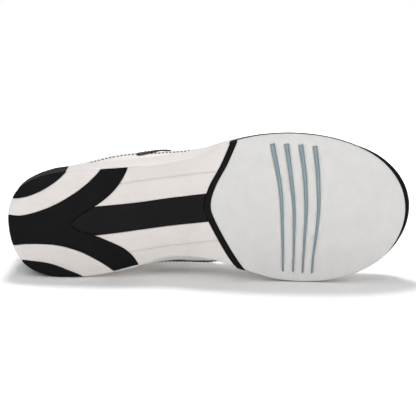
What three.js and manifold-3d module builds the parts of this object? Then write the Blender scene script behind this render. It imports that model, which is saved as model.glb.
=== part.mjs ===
// A right-foot bowling shoe: rubber cup outsole with black inlays, slide sole, laced upper on a shoe last.
// Millimetres. While it is modelled, X runs from the heel's back to the toe, +Y is the inner (medial) side and
// Z is up from the ground. At the end the shoe is moved so that its origin is at the middle of its base.
import * as THREE from "three";
import { mergeVertices } from "three/addons/utils/BufferGeometryUtils.js";
import Module from "manifold-3d";

const wasm = await Module();
wasm.setup();

// ---------- driving dimensions ----------
const soleLength = 298; // heel back to the tip of the slide sole
const soleWidth = 113.3; // across the ball
const heelHeight = 22; // ground to insole board under the heel
const ballHeight = 11.5; // ground to insole board under the ball
const toeSpring = 14; // how far the toe tip stands off the ground
const heelBevel = 4; // how far the heel's back edge stands off the ground
const archLift = 3.5; // how far the waist stands off the ground
const flankRise = 3; // extra rise of the waist's flanks outside the crease
const rimRise = 6; // cup wall above the insole board
const cupWall = 3.6; // thickness of the cup wall beside the midsole
const cupFloor = 5; // rubber under the heel
const inlayDepth = 3; // black inlays in the cup's floor
const inlaySideDepth = 1.7; // and in its wall
const slideThickness = 2.2; // slide sole
const baseThickness = 2.1; // rubber sheet that carries the slide sole
const trayFloor = 2.6; // cup floor above the slide sole
const stripWidth = 5; // V-shaped strip behind the slide sole
const bumperThickness = 4; // toe bumper at the tip
const boardThickness = 2;
const sockThickness = 4;
const liningThickness = 1.2;
const stiffenerThickness = 1.2; // toe puff and heel counter
const upperThickness = 1.6;
const overlayThickness = 1.2;
const padThickness = 7.7; // padded collar
const tongueThickness = 6.4;
const throatHalfFront = 14; // half the gap between the facings, at the vamp
const throatHalfTop = 18; // and at the top
const facingWidth = 16;
const eyeletsPerSide = 6;
const eyeletInner = 2.1; // radius
const laceRadius = 1.3;
const agletLength = 20;
const fit = 0.3; // clearance between pieces that touch

// Layers of the upper, as distances out from the last.
const lining = [0, liningThickness];
const stiffener = [lining[1] + fit, lining[1] + fit + stiffenerThickness];
const upper = [stiffener[1] + fit, stiffener[1] + fit + upperThickness];
const overlay = [upper[1] + fit, upper[1] + fit + overlayThickness];
const laceRoom = 2 * laceRadius + 1;
const tongueLayer = [-laceRoom - tongueThickness, -laceRoom];

// ---------- sole pattern ----------
// The pattern is drawn for a sole 298 long and 113.3 wide and graded to the size asked for.
const grade = soleLength / 298;
const widthGrade = soleWidth / 113.3;
const graded = ([x, y]) => new THREE.Vector2(x * grade, y * widthGrade);

// Paired points down the outer and the inner edge of the sole, heel back to toe tip.
const heelBack = [0, 0];
const toeTip = [298, 9];
const outerEdge = [
  [2, -16], [10, -29], [26, -37], [50, -40], [85, -39.5], [115, -38.5], [145, -42.5],
  [172, -51], [198, -54], [228, -51.5], [256, -43], [280, -28], [294, -9],
];
const innerEdge = [
  [3, 16], [11, 29], [26, 37.5], [52, 40.5], [85, 38], [120, 32.5], [150, 36.5],
  [172, 46], [198, 55.5], [230, 59.3], [258, 55.5], [280, 45], [294, 27],
];
const edgeLoop = new THREE.CatmullRomCurve3(
  [heelBack, ...outerEdge, toeTip, ...[...innerEdge].reverse()].map((p) => {
    const q = graded(p);
    return new THREE.Vector3(q.x, q.y, 0);
  }),
  true,
  "centripetal",
);
const OUTER = -1;
const INNER = 1;

// A point of the sole's edge at station t (0 heel back, 1 toe tip), moved outwards in plan.
function edgeAt(t, side, outwards = 0) {
  const u = (side === OUTER ? t / 2 : 1 - t / 2) % 1;
  const p = edgeLoop.getPoint(u);
  const along = edgeLoop.getPoint((u + 1e-4) % 1).sub(edgeLoop.getPoint((u + 1 - 1e-4) % 1)).normalize();
  return new THREE.Vector2(p.x + along.y * outwards, p.y - along.x * outwards);
}

// A smooth value along the shoe from a list given at the pattern's stations.
function alongShoe(list) {
  const curve = new THREE.SplineCurve(list.map((v, i) => new THREE.Vector2(i, v)));
  return (t) => curve.getPoint(Math.min(1, Math.max(0, t))).y;
}
const smooth = (a, b, x) => THREE.MathUtils.smoothstep(x, a, b);
const mix = THREE.MathUtils.lerp;

// ---------- heights, by x in the pattern ----------
const patternX = (x) => x / grade;
const spring = (x) => toeSpring * Math.max(0, (patternX(x) - 228) / 70) ** 2;
function waistBump(x) {
  const s = (patternX(x) - 117) / 38;
  return Math.abs(s) < 1 ? (1 + Math.cos(Math.PI * s)) / 2 : 0;
}
function groundZ(x) {
  const back = Math.max(0, (12 - patternX(x)) / 12);
  return heelBevel * back ** 2 + archLift * waistBump(x) + spring(x);
}
const bedZ = (x) => mix(heelHeight, ballHeight, smooth(60, 190, patternX(x))) + spring(x);
const rimZ = (x) => bedZ(x) + rimRise;

// ---------- the last ----------
// How far the last's widest line lies outside the sole's edge, heel to toe.
const outerSwell = alongShoe([-8, -8, -8, -7, -5, 1.6, 3.2, -0.4, -5.6, -8.5, -9, -9, -9, -9, -9]);
const innerSwell = alongShoe([-8, -8, -8, -7, -6, 2, 9, 6.5, -3.5, -8, -9, -9, -9, -9, -9]);
// Height of its ridge above the insole board.
const ridge = alongShoe([90, 91, 92, 94, 96, 93, 77, 66, 58, 50, 42.5, 36, 28.5, 17, 0]);
// Roundness of its sides and top (1 is an ellipse, less is squarer), and the tuck at its feather edge.
const sideRound = alongShoe([0.8, 0.8, 0.8, 0.8, 0.8, 0.8, 0.8, 0.75, 0.7, 0.62, 0.6, 0.6, 0.6, 0.65, 0.7]);
const topRound = alongShoe([1, 1, 1, 1, 1, 0.95, 0.88, 0.84, 0.8, 0.76, 0.72, 0.68, 0.66, 0.7, 0.8]);
const tuck = alongShoe([0.1, 0.1, 0.1, 0.1, 0.12, 0.18, 0.25, 0.2, 0.1, 0.06, 0.05, 0.05, 0.05, 0.05, 0.05]);

// How far the heel's back leans forwards at a height: out at the swell, in at the top line.
function heelLean(z) {
  const s = z - 2 * heelHeight;
  return (s > 0 ? 0.006 : 0.008) * s * s;
}

// A point on the last at station t and angle phi (0 outer feather edge, PI inner), moved out by d.
// Angles past either feather edge drop straight down.
function lastAt(t, angle, d = 0) {
  const phi = Math.min(Math.PI, Math.max(0, angle));
  const below = 40 * Math.abs(angle - phi);
  const outer = edgeAt(t, OUTER, outerSwell(t) + d);
  const inner = edgeAt(t, INNER, innerSwell(t) + d);
  const c = Math.cos(phi);
  const s = Math.max(0, Math.sin(phi));
  const reach = Math.sign(c) * Math.abs(c) ** sideRound(t) * (1 - tuck(t) * (1 - s) ** 4);
  const middle = outer.clone().add(inner).multiplyScalar(0.5);
  const p = outer.clone().sub(inner).multiplyScalar(reach / 2).add(middle);
  const base = bedZ(middle.x);
  const z = base + (ridge(t) + d) * s ** topRound(t) - below;
  p.x += heelLean(z) * (1 - smooth(0, 60, patternX(p.x)));
  return new THREE.Vector3(p.x, p.y, z);
}

// Root of a rising function on [a, b].
function solve(f, a, b) {
  let [low, high] = [a, b];
  for (let i = 0; i < 40; i++) {
    const m = (low + high) / 2;
    if (f(m) < 0) low = m;
    else high = m;
  }
  return (low + high) / 2;
}
const middleX = (t) => (edgeAt(t, OUTER).x + edgeAt(t, INNER).x) / 2;
const tAt = (x) => solve((t) => middleX(t) - x * grade, 0, 1);
// Angles on the outer half: at a height, and at a distance from the ridge. Distances are the pattern's, so they
// are graded across with the sole.
const phiAtHeight = (t, z, d = 0) => solve((p) => lastAt(t, p, d).z - z(lastAt(t, p, d).x), 0, Math.PI / 2);
function phiAtDistance(t, distance) {
  const top = lastAt(t, Math.PI / 2);
  const across = distance * widthGrade;
  return solve((p) => across - Math.hypot(lastAt(t, p).x - top.x, lastAt(t, p).y - top.y), 0, Math.PI / 2);
}
const onSide = (side, phi) => (side === OUTER ? phi : Math.PI - phi);

// ---------- solids ----------
// Closed mesh between two surfaces over one grid. Ends that close on themselves need no wall.
function gridSolid(nu, nv, front, back, { wallStart = true, wallEnd = true } = {}) {
  const points = [];
  const faces = [];
  for (const surface of [front, back])
    for (let i = 0; i <= nu; i++) for (let j = 0; j <= nv; j++) points.push(surface(i / nu, j / nv));
  const at = (k, i, j) => k * (nu + 1) * (nv + 1) + i * (nv + 1) + j;
  const quad = (a, b, c, d) => faces.push(a, b, c, a, c, d);
  for (let i = 0; i < nu; i++)
    for (let j = 0; j < nv; j++) {
      quad(at(0, i, j), at(0, i + 1, j), at(0, i + 1, j + 1), at(0, i, j + 1));
      quad(at(1, i, j), at(1, i, j + 1), at(1, i + 1, j + 1), at(1, i + 1, j));
    }
  for (let i = 0; i < nu; i++) {
    quad(at(0, i, 0), at(1, i, 0), at(1, i + 1, 0), at(0, i + 1, 0));
    quad(at(0, i, nv), at(0, i + 1, nv), at(1, i + 1, nv), at(1, i, nv));
  }
  for (let j = 0; j < nv; j++) {
    if (wallStart) quad(at(0, 0, j), at(0, 0, j + 1), at(1, 0, j + 1), at(1, 0, j));
    if (wallEnd) quad(at(0, nu, j), at(1, nu, j), at(1, nu, j + 1), at(0, nu, j + 1));
  }
  const geometry = new THREE.BufferGeometry();
  geometry.setAttribute("position", new THREE.Float32BufferAttribute(points.flatMap((p) => [p.x, p.y, p.z]), 3));
  geometry.setIndex(faces);
  return facingOut(welded(geometry));
}

// Merges shared vertices and drops the faces that closed up.
function welded(geometry, within = 1e-4) {
  for (const name of ["normal", "uv"]) geometry.deleteAttribute(name);
  const merged = mergeVertices(geometry, within);
  const kept = [];
  const index = merged.index.array;
  for (let i = 0; i < index.length; i += 3) {
    const [a, b, c] = [index[i], index[i + 1], index[i + 2]];
    if (a !== b && b !== c && a !== c) kept.push(a, b, c);
  }
  merged.setIndex(kept);
  return merged;
}

// Turns a mesh right side out when its volume is negative.
function facingOut(geometry) {
  const p = geometry.attributes.position;
  const index = geometry.index.array;
  const [a, b, c] = [new THREE.Vector3(), new THREE.Vector3(), new THREE.Vector3()];
  let volume = 0;
  for (let i = 0; i < index.length; i += 3) {
    a.fromBufferAttribute(p, index[i]);
    b.fromBufferAttribute(p, index[i + 1]);
    c.fromBufferAttribute(p, index[i + 2]);
    volume += a.dot(b.cross(c));
  }
  if (volume < 0) for (let i = 0; i < index.length; i += 3) [index[i], index[i + 1]] = [index[i + 1], index[i]];
  return geometry;
}

function toSolid(geometry) {
  const g = geometry.index ? geometry : welded(geometry.clone());
  const mesh = new wasm.Mesh({
    numProp: 3,
    vertProperties: new Float32Array(g.attributes.position.array),
    triVerts: new Uint32Array(g.index.array),
  });
  return new wasm.Manifold(mesh);
}

function meshGeometry(solid) {
  const mesh = solid.getMesh();
  const geometry = new THREE.BufferGeometry();
  geometry.setAttribute("position", new THREE.BufferAttribute(new Float32Array(mesh.vertProperties), 3));
  geometry.setIndex(new THREE.BufferAttribute(new Uint32Array(mesh.triVerts), 1));
  return geometry;
}

// Booleans can leave specks and very short edges behind: these are welded, and the largest body is the piece.
const shortestEdge = 0.003;
function toGeometry(result) {
  const clean = toSolid(welded(meshGeometry(result), shortestEdge));
  const bodies = clean.decompose().sort((a, b) => b.volume() - a.volume());
  return meshGeometry(bodies[0]);
}

// Upright prism over a plan outline, tall enough to pass through the whole sole.
const prismHeight = 90;
function prism(points, curved = true) {
  const path = curved ? new THREE.SplineCurve(points).getPoints(points.length * 3) : points;
  const geometry = new THREE.ExtrudeGeometry(new THREE.Shape(path), { depth: prismHeight, bevelEnabled: false });
  geometry.translate(0, 0, -prismHeight / 3);
  return toSolid(facingOut(welded(geometry)));
}

// Slab with the sole's plan shape between two heights given as functions of x, y and the share across.
const stations = 33;
const lanes = [-1, -0.62, 0, 0.62, 1];
function slab(outwards, low, high) {
  const surface = (height, level) => (u, v) => {
    const t = 0.5 - 0.5 * Math.cos(Math.PI * u);
    const out = typeof outwards === "function" ? outwards(t, level) : outwards;
    const a = edgeAt(t, OUTER, Array.isArray(out) ? out[0] : out);
    const b = edgeAt(t, INNER, Array.isArray(out) ? out[1] : out);
    const share = lanes[Math.round(v * (lanes.length - 1))];
    const p = a.lerp(b, (share + 1) / 2);
    return new THREE.Vector3(p.x, p.y, height(p.x, share));
  };
  return toSolid(
    gridSolid(stations, lanes.length - 1, surface(high, 1), surface(low, 0), { wallStart: false, wallEnd: false }),
  );
}

// The waist's flanks rise outside a crease that runs beside the bar.
const crease = 0.62;
function bottomZ(x, share) {
  const flank = Math.max(0, (Math.abs(share) - crease) / (1 - crease));
  return groundZ(x) + flankRise * waistBump(x) * flank;
}
const above = (height, rise) => (x, share) => height(x, share) + rise;

// The cup wall leans out with the last at the waist.
const outerFlare = alongShoe([0, 0, 0, 0, 0.5, 2, 4, 3, 0, -1, -1, -1, -0.5, 0, 0]);
const innerFlare = alongShoe([0, 0, 0, 0, 0.5, 3, 6, 4, 0, -1, -1, -1, -0.5, 0, 0]);
const flared = (inset) => (t, level) =>
  level ? [outerFlare(t) - inset, innerFlare(t) - inset] : [-inset, -inset];

// The last grown by a distance, as one closed body with its floor a little lower.
const lastStations = 28;
const lastAngles = 14;
function lastBody(d, drop = 0) {
  const surface = (u, v) => lastAt(0.5 - 0.5 * Math.cos(Math.PI * u), Math.PI * v, d);
  const floor = (u, v) => {
    const p = surface(u, 0).lerp(surface(u, 1), v);
    p.z -= drop;
    return p;
  };
  return toSolid(gridSolid(lastStations, lastAngles, surface, floor, { wallStart: false, wallEnd: false }));
}
// Every layer of the upper is cut from the shell between two such bodies.
const shellOf = (layer) => lastBody(layer[1]).subtract(lastBody(layer[0], 5));
const shoeVolume = lastBody(upper[1] + fit, fit);
const aboveOnly = (height, rise) => slab(25, above(height, rise), above(height, 200));

// ---------- the bottom unit ----------
const footprint = slab(flared(0), bottomZ, rimZ);

// Black inlays, as plan outlines: the heel's forked piece, its two side pads and the waist bar.
const points = (list) => list.map(graded);
const forkOutline = points([
  [-6, -9.5], [12, -9.5], [32, -13.8], [52, -22.8], [66, -32.5], [73.5, -40.5], [74.5, -50],
  [95.5, -50], [93.5, -40], [89, -31.5], [82, -23], [74, -16.5], [65.5, -11.4],
  [52, -4.6], [46.8, 0.6], [52, 5.4], [64, 10.4],
  [74, 15.6], [84, 21.6], [89.5, 27], [93, 33], [97, 44],
  [80, 48], [75.5, 39], [70, 33.8], [60, 26.6], [50, 20.8], [34, 15], [12, 12.2], [-6, 11.5],
]);
const outerPadOutline = points([[4, -23.6], [14, -23], [24, -25.4], [34, -29.8], [44, -36.5], [53, -47], [24, -54], [-2, -34]]);
const innerPadOutline = points([[6, 24.6], [17, 25.8], [29, 28.8], [40, 34], [53, 42.5], [44, 52], [20, 52], [0, 32]]);
const barOutline = points([[65.6, -11.2], [102, -11.6], [150, -14.2], [150, 7.2], [102, 9], [64.6, 10], [52, 4.9], [47.4, 0.6], [52, -4]]);

// The forepart lies in front of a V whose point is towards the heel.
const vPoint = points([[174, -58], [162, -35], [152, -19.5], [147.2, -8], [146.8, -1], [149.5, 8], [159, 30], [165.5, 42], [172, 52]]);
function forepartOutline(forwards) {
  const rear = vPoint.map((p) => new THREE.Vector2(p.x + forwards, p.y));
  const curve = new THREE.SplineCurve(rear).getPoints(20);
  const far = soleLength + 20;
  return [...curve, new THREE.Vector2(far, soleWidth), new THREE.Vector2(far, -soleWidth)];
}

// What is left of the cup's floor and wall behind the inlays.
const inlayCore = (extra) =>
  slab(flared(inlaySideDepth + extra), above(bottomZ, inlayDepth + extra), above(rimZ, 9));
const coreBehindPieces = inlayCore(0);
const coreBehindPockets = inlayCore(fit);

// A plan outline grown by moving it out along its own normals.
function grown(outline, by) {
  const n = outline.length;
  return outline.map((p, i) => {
    const along = outline[(i + 1) % n].clone().sub(outline[(i + n - 1) % n]).normalize();
    return new THREE.Vector2(p.x + along.y * by, p.y - along.x * by);
  });
}
// Which way round the outline runs decides the sign that grows it.
const grownOut = (outline, by) => grown(outline, THREE.ShapeUtils.isClockWise(outline) ? -by : by);

const closedCurve = (outline) => new THREE.CatmullRomCurve3(
  outline.map((p) => new THREE.Vector3(p.x, p.y, 0)), true, "centripetal",
).getPoints(outline.length * 2).slice(0, -1).map((p) => new THREE.Vector2(p.x, p.y));

const forepart = prism(forepartOutline(0), false);
const inlays = {};
let cup = footprint.subtract(shoeVolume);
for (const [name, outline] of [
  ["heel_fork", forkOutline],
  ["heel_pad_outer", outerPadOutline],
  ["heel_pad_inner", innerPadOutline],
  ["waist_bar", barOutline],
]) {
  const shape = name === "waist_bar" ? outline : closedCurve(outline);
  let piece = prism(shape, false).intersect(footprint).subtract(coreBehindPieces).subtract(shoeVolume);
  if (name === "waist_bar") piece = piece.subtract(prism(forepartOutline(-fit), false));
  for (const other of Object.values(inlays)) piece = piece.subtract(other.pocket);
  const pocket = prism(grownOut(shape, fit), false).subtract(coreBehindPockets);
  inlays[name] = { piece, pocket };
  cup = cup.subtract(pocket);
}

// Slide sole on its rubber base, both in a recess under the forepart.
const recess = slab(2, above(groundZ, -5), above(groundZ, slideThickness + baseThickness + 2 * fit));
cup = cup.subtract(recess.intersect(forepart));
const baseBody = slab(-0.4, above(groundZ, 0), above(groundZ, slideThickness + baseThickness + fit))
  .intersect(prism(forepartOutline(fit), false));
const slideArea = prism(forepartOutline(stripWidth), false);
const slideSole = slab(0, above(groundZ, 0), above(groundZ, slideThickness))
  .intersect(prism(forepartOutline(stripWidth + fit), false));
const slideBase = baseBody.subtract(
  slab(3, above(groundZ, -1), above(groundZ, slideThickness + fit)).intersect(slideArea),
);

// Midsole foam fills the cup between its floor and the insole board.
const floorRise = (x) => mix(cupFloor, slideThickness + baseThickness + trayFloor + 2 * fit, smooth(120, 152, patternX(x)));
const well = slab(-cupWall - fit, (x, s) => bottomZ(x, s) + floorRise(x), above(bedZ, 0));
cup = cup.subtract(well);
const shankLength = [42, 150]; // along the pattern
const shankHalf = 9;
const shankThickness = 1.4;
function shankSlab(lowRise, highRise, margin) {
  const [a, b] = shankLength;
  const surface = (rise) => (u, v) => {
    const x = mix(a - margin, b + margin, u) * grade;
    return new THREE.Vector3(x, mix(-shankHalf - margin, shankHalf + margin, v), bedZ(x) + rise);
  };
  return toSolid(gridSolid(16, 2, surface(highRise), surface(lowRise)));
}
const shank = shankSlab(-shankThickness - fit, -fit, 0);
const midsole = slab(
  -cupWall - 2 * fit,
  (x, s) => bottomZ(x, s) + floorRise(x) + fit,
  above(bedZ, -fit),
).subtract(shankSlab(-shankThickness - 2 * fit, 1, fit));

// Toe bumper: a black band round the front of the cup, thickest at the tip.
const bumperReach = 1 - tAt(268);
function bumperSurface(outer) {
  return (u, v) => {
    const w = 2 * u - 1;
    const side = w < 0 ? OUTER : INNER;
    const t = 1 - Math.abs(w) * bumperReach;
    const swell = bumperThickness * (0.2 + 0.8 * (1 - Math.abs(w) ** 1.6));
    const flare = side === OUTER ? outerFlare(t) : innerFlare(t);
    const p = edgeAt(t, side, flare + (outer ? fit + swell * (0.75 + 0.25 * Math.sin(Math.PI * v)) : -2));
    const back = edgeAt(t, side);
    const z = mix(groundZ(back.x) + slideThickness + baseThickness + 2 * fit, rimZ(back.x), v);
    return new THREE.Vector3(p.x, p.y, z);
  };
}
const bumper = toSolid(gridSolid(18, 3, bumperSurface(true), bumperSurface(false)))
  .subtract(slab((t, level) => flared(-fit)(t, level), above(groundZ, -5), above(rimZ, 9)))
  .subtract(shoeVolume);

// ---------- inside ----------
// Flat pieces on the bed, cut to the last's plan shape at their height.
function bedPiece(low, high, inset) {
  const surface = (rise) => (u, v) => {
    const t = 0.5 - 0.5 * Math.cos(Math.PI * u);
    const d = -inset(t);
    const phi = phiAtHeight(Math.min(0.985, Math.max(0.015, t)), (x) => bedZ(x) + low + 0.2, d);
    const a = lastAt(t, phi, d);
    const b = lastAt(t, Math.PI - phi, d);
    const p = a.lerp(b, v);
    return new THREE.Vector3(p.x, p.y, bedZ(p.x) + rise);
  };
  return gridSolid(26, 2, surface(high), surface(low), { wallStart: false, wallEnd: false });
}
const board = bedPiece(fit, fit + boardThickness, () => fit - lining[1]);
const sockLow = 2 * fit + boardThickness;
const sock = bedPiece(sockLow, sockLow + sockThickness, () => fit + 0.6);
const liningFoot = aboveOnly(bedZ, sockLow);

// ---------- the upper ----------
const topLine = new THREE.SplineCurve(
  points([[-10, 0], [0, 0], [15, 0], [35, 0], [55, 0], [80, 0], [105, 0], [122, 0], [140, 0]]).map((p, i) =>
    new THREE.Vector2(p.x, [84, 83, 80, 71, 66, 76, 98, 116, 130][i])),
);
const topLineZ = (x) => topLine.getPoint(solve((u) => topLine.getPoint(u).x - x, 0, 1)).y;
const throatFrontX = 190;
const throatTopX = 104;
const throatHalf = (x) => mix(throatHalfFront, throatHalfTop, (throatFrontX - x) / (throatFrontX - throatTopX));

// Upper edge of the quarters: the top line round the ankle, then the facing's edge.
function openingPhi(t) {
  const x = patternX(middleX(t));
  const round = phiAtHeight(t, topLineZ, upper[0]);
  return x < throatTopX - 14 ? round : Math.min(round, phiAtDistance(t, throatHalf(x)));
}
// Seam between quarter and vamp, from the feather edge up to the throat.
const seamT = (share) => tAt(mix(166, throatFrontX, smooth(0, 1, share)));

// Cuts a layer to the region that a grid of stations and angles covers.
const cutterReach = 2.5;
function panel(layer, nu, nv, place) {
  const surface = (d) => (u, v) => {
    const [t, phi] = place(u, v);
    return lastAt(t, phi, d);
  };
  const cutter = gridSolid(nu, nv, surface(layer[1] + cutterReach), surface(layer[0] - cutterReach));
  return shellOf(layer).intersect(toSolid(cutter));
}

// A panel of one side between two limits along the shoe and two angles.
function sidePanel(side, layer, { start, end, low, high, nu = 18, nv = 4 }) {
  return panel(layer, nu, nv, (u, v) => {
    const t = mix(start(v), end(v), u);
    return [t, onSide(side, mix(low(t), high(t), v))];
  });
}
const heelGap = 0.004; // share of the station range that leaves room at the heel seam
const skirt = -0.1; // angle below the feather edge where a panel's cutter starts

const quarter = (side) => sidePanel(side, upper, {
  start: () => heelGap,
  end: (v) => seamT(v) - 0.002,
  low: () => skirt,
  high: openingPhi,
});

// The collar pad runs round the ankle, and the lining stops under it.
const padLowZ = (x) => topLineZ(x) - 21;
const padFrontX = 98;
function padBand(grow) {
  const reach = tAt(padFrontX + grow);
  const surface = (d) => (u, v) => {
    const w = 2 * u - 1;
    const t = Math.abs(w) * reach;
    const low = phiAtHeight(t, (x) => padLowZ(x) - grow);
    return lastAt(t, onSide(w < 0 ? OUTER : INNER, mix(low, openingPhi(t) - 0.02 + grow, v)), d);
  };
  const inside = upper[0] - fit - padThickness - grow;
  return toSolid(gridSolid(24, 2, surface(upper[0] + 2), surface(inside)));
}
const collarPad = padBand(0).intersect(lastBody(upper[0] - fit));
const sideLining = (side) => sidePanel(side, lining, {
  start: () => heelGap,
  end: (v) => seamT(v) - 0.002,
  low: () => skirt,
  high: openingPhi,
}).intersect(liningFoot).subtract(padBand(0.4));

// A band that wraps the heel from one side to the other.
function heelWrap(layer, reach, low, high, nu, nv) {
  return panel(layer, nu, nv, (u, v) => {
    const w = 2 * u - 1;
    const t = Math.abs(w) * reach(v);
    return [t, onSide(w < 0 ? OUTER : INNER, mix(low(t), high(t), v))];
  });
}
const counterTopZ = (x) => padLowZ(x) - 2;
const counter = heelWrap(
  stiffener,
  (v) => tAt(mix(78, 52, v)),
  () => skirt,
  (t) => phiAtHeight(t, counterTopZ),
  18,
  2,
).intersect(liningFoot);
const heelOverlay = heelWrap(
  overlay,
  (v) => tAt(mix(62, 30, smooth(0, 1, v))),
  () => skirt,
  (t) => phiAtHeight(t, (x) => topLineZ(x) - 1.5, overlay[0]),
  18,
  4,
).intersect(aboveOnly(rimZ, 0.6));

// The front of the shoe, from one feather edge over the top to the other.
function frontPanel(layer, start, nu, nv) {
  return panel(layer, nu, nv, (u, v) => {
    const t = mix(start(Math.sin(Math.PI * v)), 1, 1 - (1 - u) ** 1.3);
    return [t, mix(skirt, Math.PI - skirt, v)];
  });
}
const vampShare = phiAtDistance(tAt(throatFrontX), throatHalf(throatFrontX)) / (Math.PI / 2);
const vampStart = (s) => seamT(Math.min(1, Math.asin(Math.min(1, s)) / (Math.PI / 2) / vampShare)) + 0.002;
const vamp = frontPanel(upper, vampStart, 6, 18);
const vampLining = frontPanel(lining, vampStart, 6, 18).intersect(liningFoot);
const toeShare = (back, front) => (s) => mix(tAt(back), tAt(front), smooth(0, 1, s));
const toePuff = frontPanel(stiffener, toeShare(248, 266), 5, 14).intersect(liningFoot);
const toeCap = frontPanel(overlay, toeShare(243, 264), 5, 14).intersect(aboveOnly(rimZ, 0.6));

// ---------- facings, eyelets and lace ----------
const eyeletX = (k) => mix(throatFrontX - 11, throatTopX + 5, k / (eyeletsPerSide - 1));
const facingMargin = 7;
function eyeletSpot(side, k) {
  const x = eyeletX(k);
  const t = tAt(x);
  const phi = onSide(side, phiAtDistance(t, throatHalf(x) + facingMargin));
  const step = 0.004;
  const alongShoeStep = lastAt(t + step, phi, overlay[1]).sub(lastAt(t - step, phi, overlay[1]));
  const acrossStep = lastAt(t, phi + step, overlay[1]).sub(lastAt(t, phi - step, overlay[1]));
  const normal = acrossStep.cross(alongShoeStep).normalize();
  if (normal.z < 0) normal.negate();
  return { normal, surface: lastAt(t, phi, overlay[1]) };
}
const inFrameOf = (spot, geometry) => {
  const turn = new THREE.Quaternion().setFromUnitVectors(new THREE.Vector3(0, 0, 1), spot.normal);
  return geometry.applyQuaternion(turn).translate(spot.surface.x, spot.surface.y, spot.surface.z);
};
const barrelWall = 0.5;
const flangeWidth = 1.8;
const flangeThickness = 0.6;
const flangeGap = 0.5;
const barrelLength = upperThickness + overlayThickness + fit;
function eyeletRing(spot) {
  const bore = eyeletInner;
  const barrel = bore + barrelWall;
  const flange = bore + flangeWidth;
  const profile = [
    [bore, -barrelLength], [barrel, -barrelLength], [barrel, flangeGap], [flange, flangeGap],
    [flange, flangeGap + flangeThickness], [bore, flangeGap + flangeThickness], [bore, -barrelLength],
  ].map(([r, z]) => new THREE.Vector2(r, z));
  const ring = new THREE.LatheGeometry(profile, 8);
  ring.rotateX(Math.PI / 2);
  return inFrameOf(spot, facingOut(welded(ring)));
}
function eyeletHole(spot, extra) {
  const radius = eyeletInner + barrelWall + fit + extra;
  const drill = new THREE.CylinderGeometry(radius, radius, 24, 8);
  drill.rotateX(Math.PI / 2);
  return toSolid(facingOut(welded(inFrameOf(spot, drill))));
}
const spots = { [OUTER]: [], [INNER]: [] };
for (const side of [OUTER, INNER])
  for (let k = 0; k < eyeletsPerSide; k++) spots[side].push(eyeletSpot(side, k));
const punched = (solid, side, extra = 0) =>
  spots[side].reduce((rest, spot) => rest.subtract(eyeletHole(spot, extra)), solid);
const facing = (side) => sidePanel(side, overlay, {
  start: () => tAt(throatTopX - 6),
  end: () => tAt(throatFrontX - 1.5),
  low: (t) => phiAtDistance(t, throatHalf(patternX(middleX(t))) + facingWidth),
  high: (t) => openingPhi(t) - 0.01,
  nu: 9,
  nv: 1,
});

// Side stripes: a tapered band that rises towards the facing outside, and one low along the arch inside.
const stripeFoot = { [OUTER]: [99, 43], [INNER]: [98, 33] };
const stripeHead = { [OUTER]: [128, 63], [INNER]: [160, 37] };
const stripeWidth = { [OUTER]: 8, [INNER]: 9 };
function stripe(side) {
  return panel(overlay, 10, 1, (u, v) => {
    const [foot, head] = [stripeFoot[side], stripeHead[side]];
    const x = mix(foot[0], head[0], u);
    const half = (stripeWidth[side] / 2) * (0.25 + 0.75 * (1 - u)) * Math.min(1, 0.3 + u * 6);
    const z = mix(foot[1], head[1], u ** 1.4) + (v - 0.5) * 2 * half;
    const t = tAt(x);
    return [t, onSide(side, phiAtHeight(t, () => z, upper[1]))];
  });
}

// Tongue: a pad under the facings, from the throat to above the top eyelets.
const tongueBackX = 80;
const tongueHalfFront = 24;
const tongueHalfTop = 32;
const tongueHalf = (x) =>
  mix(tongueHalfTop, tongueHalfFront, smooth(110, throatFrontX, x)) * mix(0.62, 1, smooth(tongueBackX, 112, x));
function tonguePatch(layer, x0, x1, half, nu, nv) {
  const surface = (d) => (u, v) => {
    const x = mix(x0, x1, u);
    const t = tAt(x);
    const w = 2 * v - 1;
    const phi = phiAtDistance(t, Math.abs(w) * half(x) + 1e-4);
    return lastAt(t, onSide(w < 0 ? OUTER : INNER, phi), d);
  };
  return gridSolid(nu, nv, surface(layer[1]), surface(layer[0]));
}
const tongue = tonguePatch(tongueLayer, throatFrontX + 4, tongueBackX, tongueHalf, 13, 8);
const labelLayer = [tongueLayer[1] + fit, tongueLayer[1] + fit + 0.8];
const tongueLabel = tonguePatch(labelLayer, 99, 84, () => 13, 4, 6);

// Heel pull loop: a strip of webbing that stands up behind the top line.
const loopWidth = 16;
const loopThickness = 1.4;
function heelLoop() {
  const foot = lastAt(0, phiAtHeight(0.01, (x) => topLineZ(x) - 16, overlay[1]), overlay[1] + fit);
  const top = topLineZ(0) + 7;
  const line = [
    [foot.x, foot.z], [foot.x + 0.6, foot.z + 9], [foot.x - 0.6, top - 4], [foot.x + 2.2, top],
    [foot.x + 6, top - 1], [foot.x + 8.2, top - 5.2],
  ].map(([x, z]) => new THREE.Vector2(x, z));
  const curve = new THREE.SplineCurve(line);
  const surface = (out) => (u, v) => {
    const p = curve.getPoint(u);
    const along = curve.getTangent(u);
    return new THREE.Vector3(p.x - along.y * out, mix(-loopWidth / 2, loopWidth / 2, v), p.y + along.x * out);
  };
  return gridSolid(14, 2, surface(loopThickness), surface(0));
}

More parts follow.
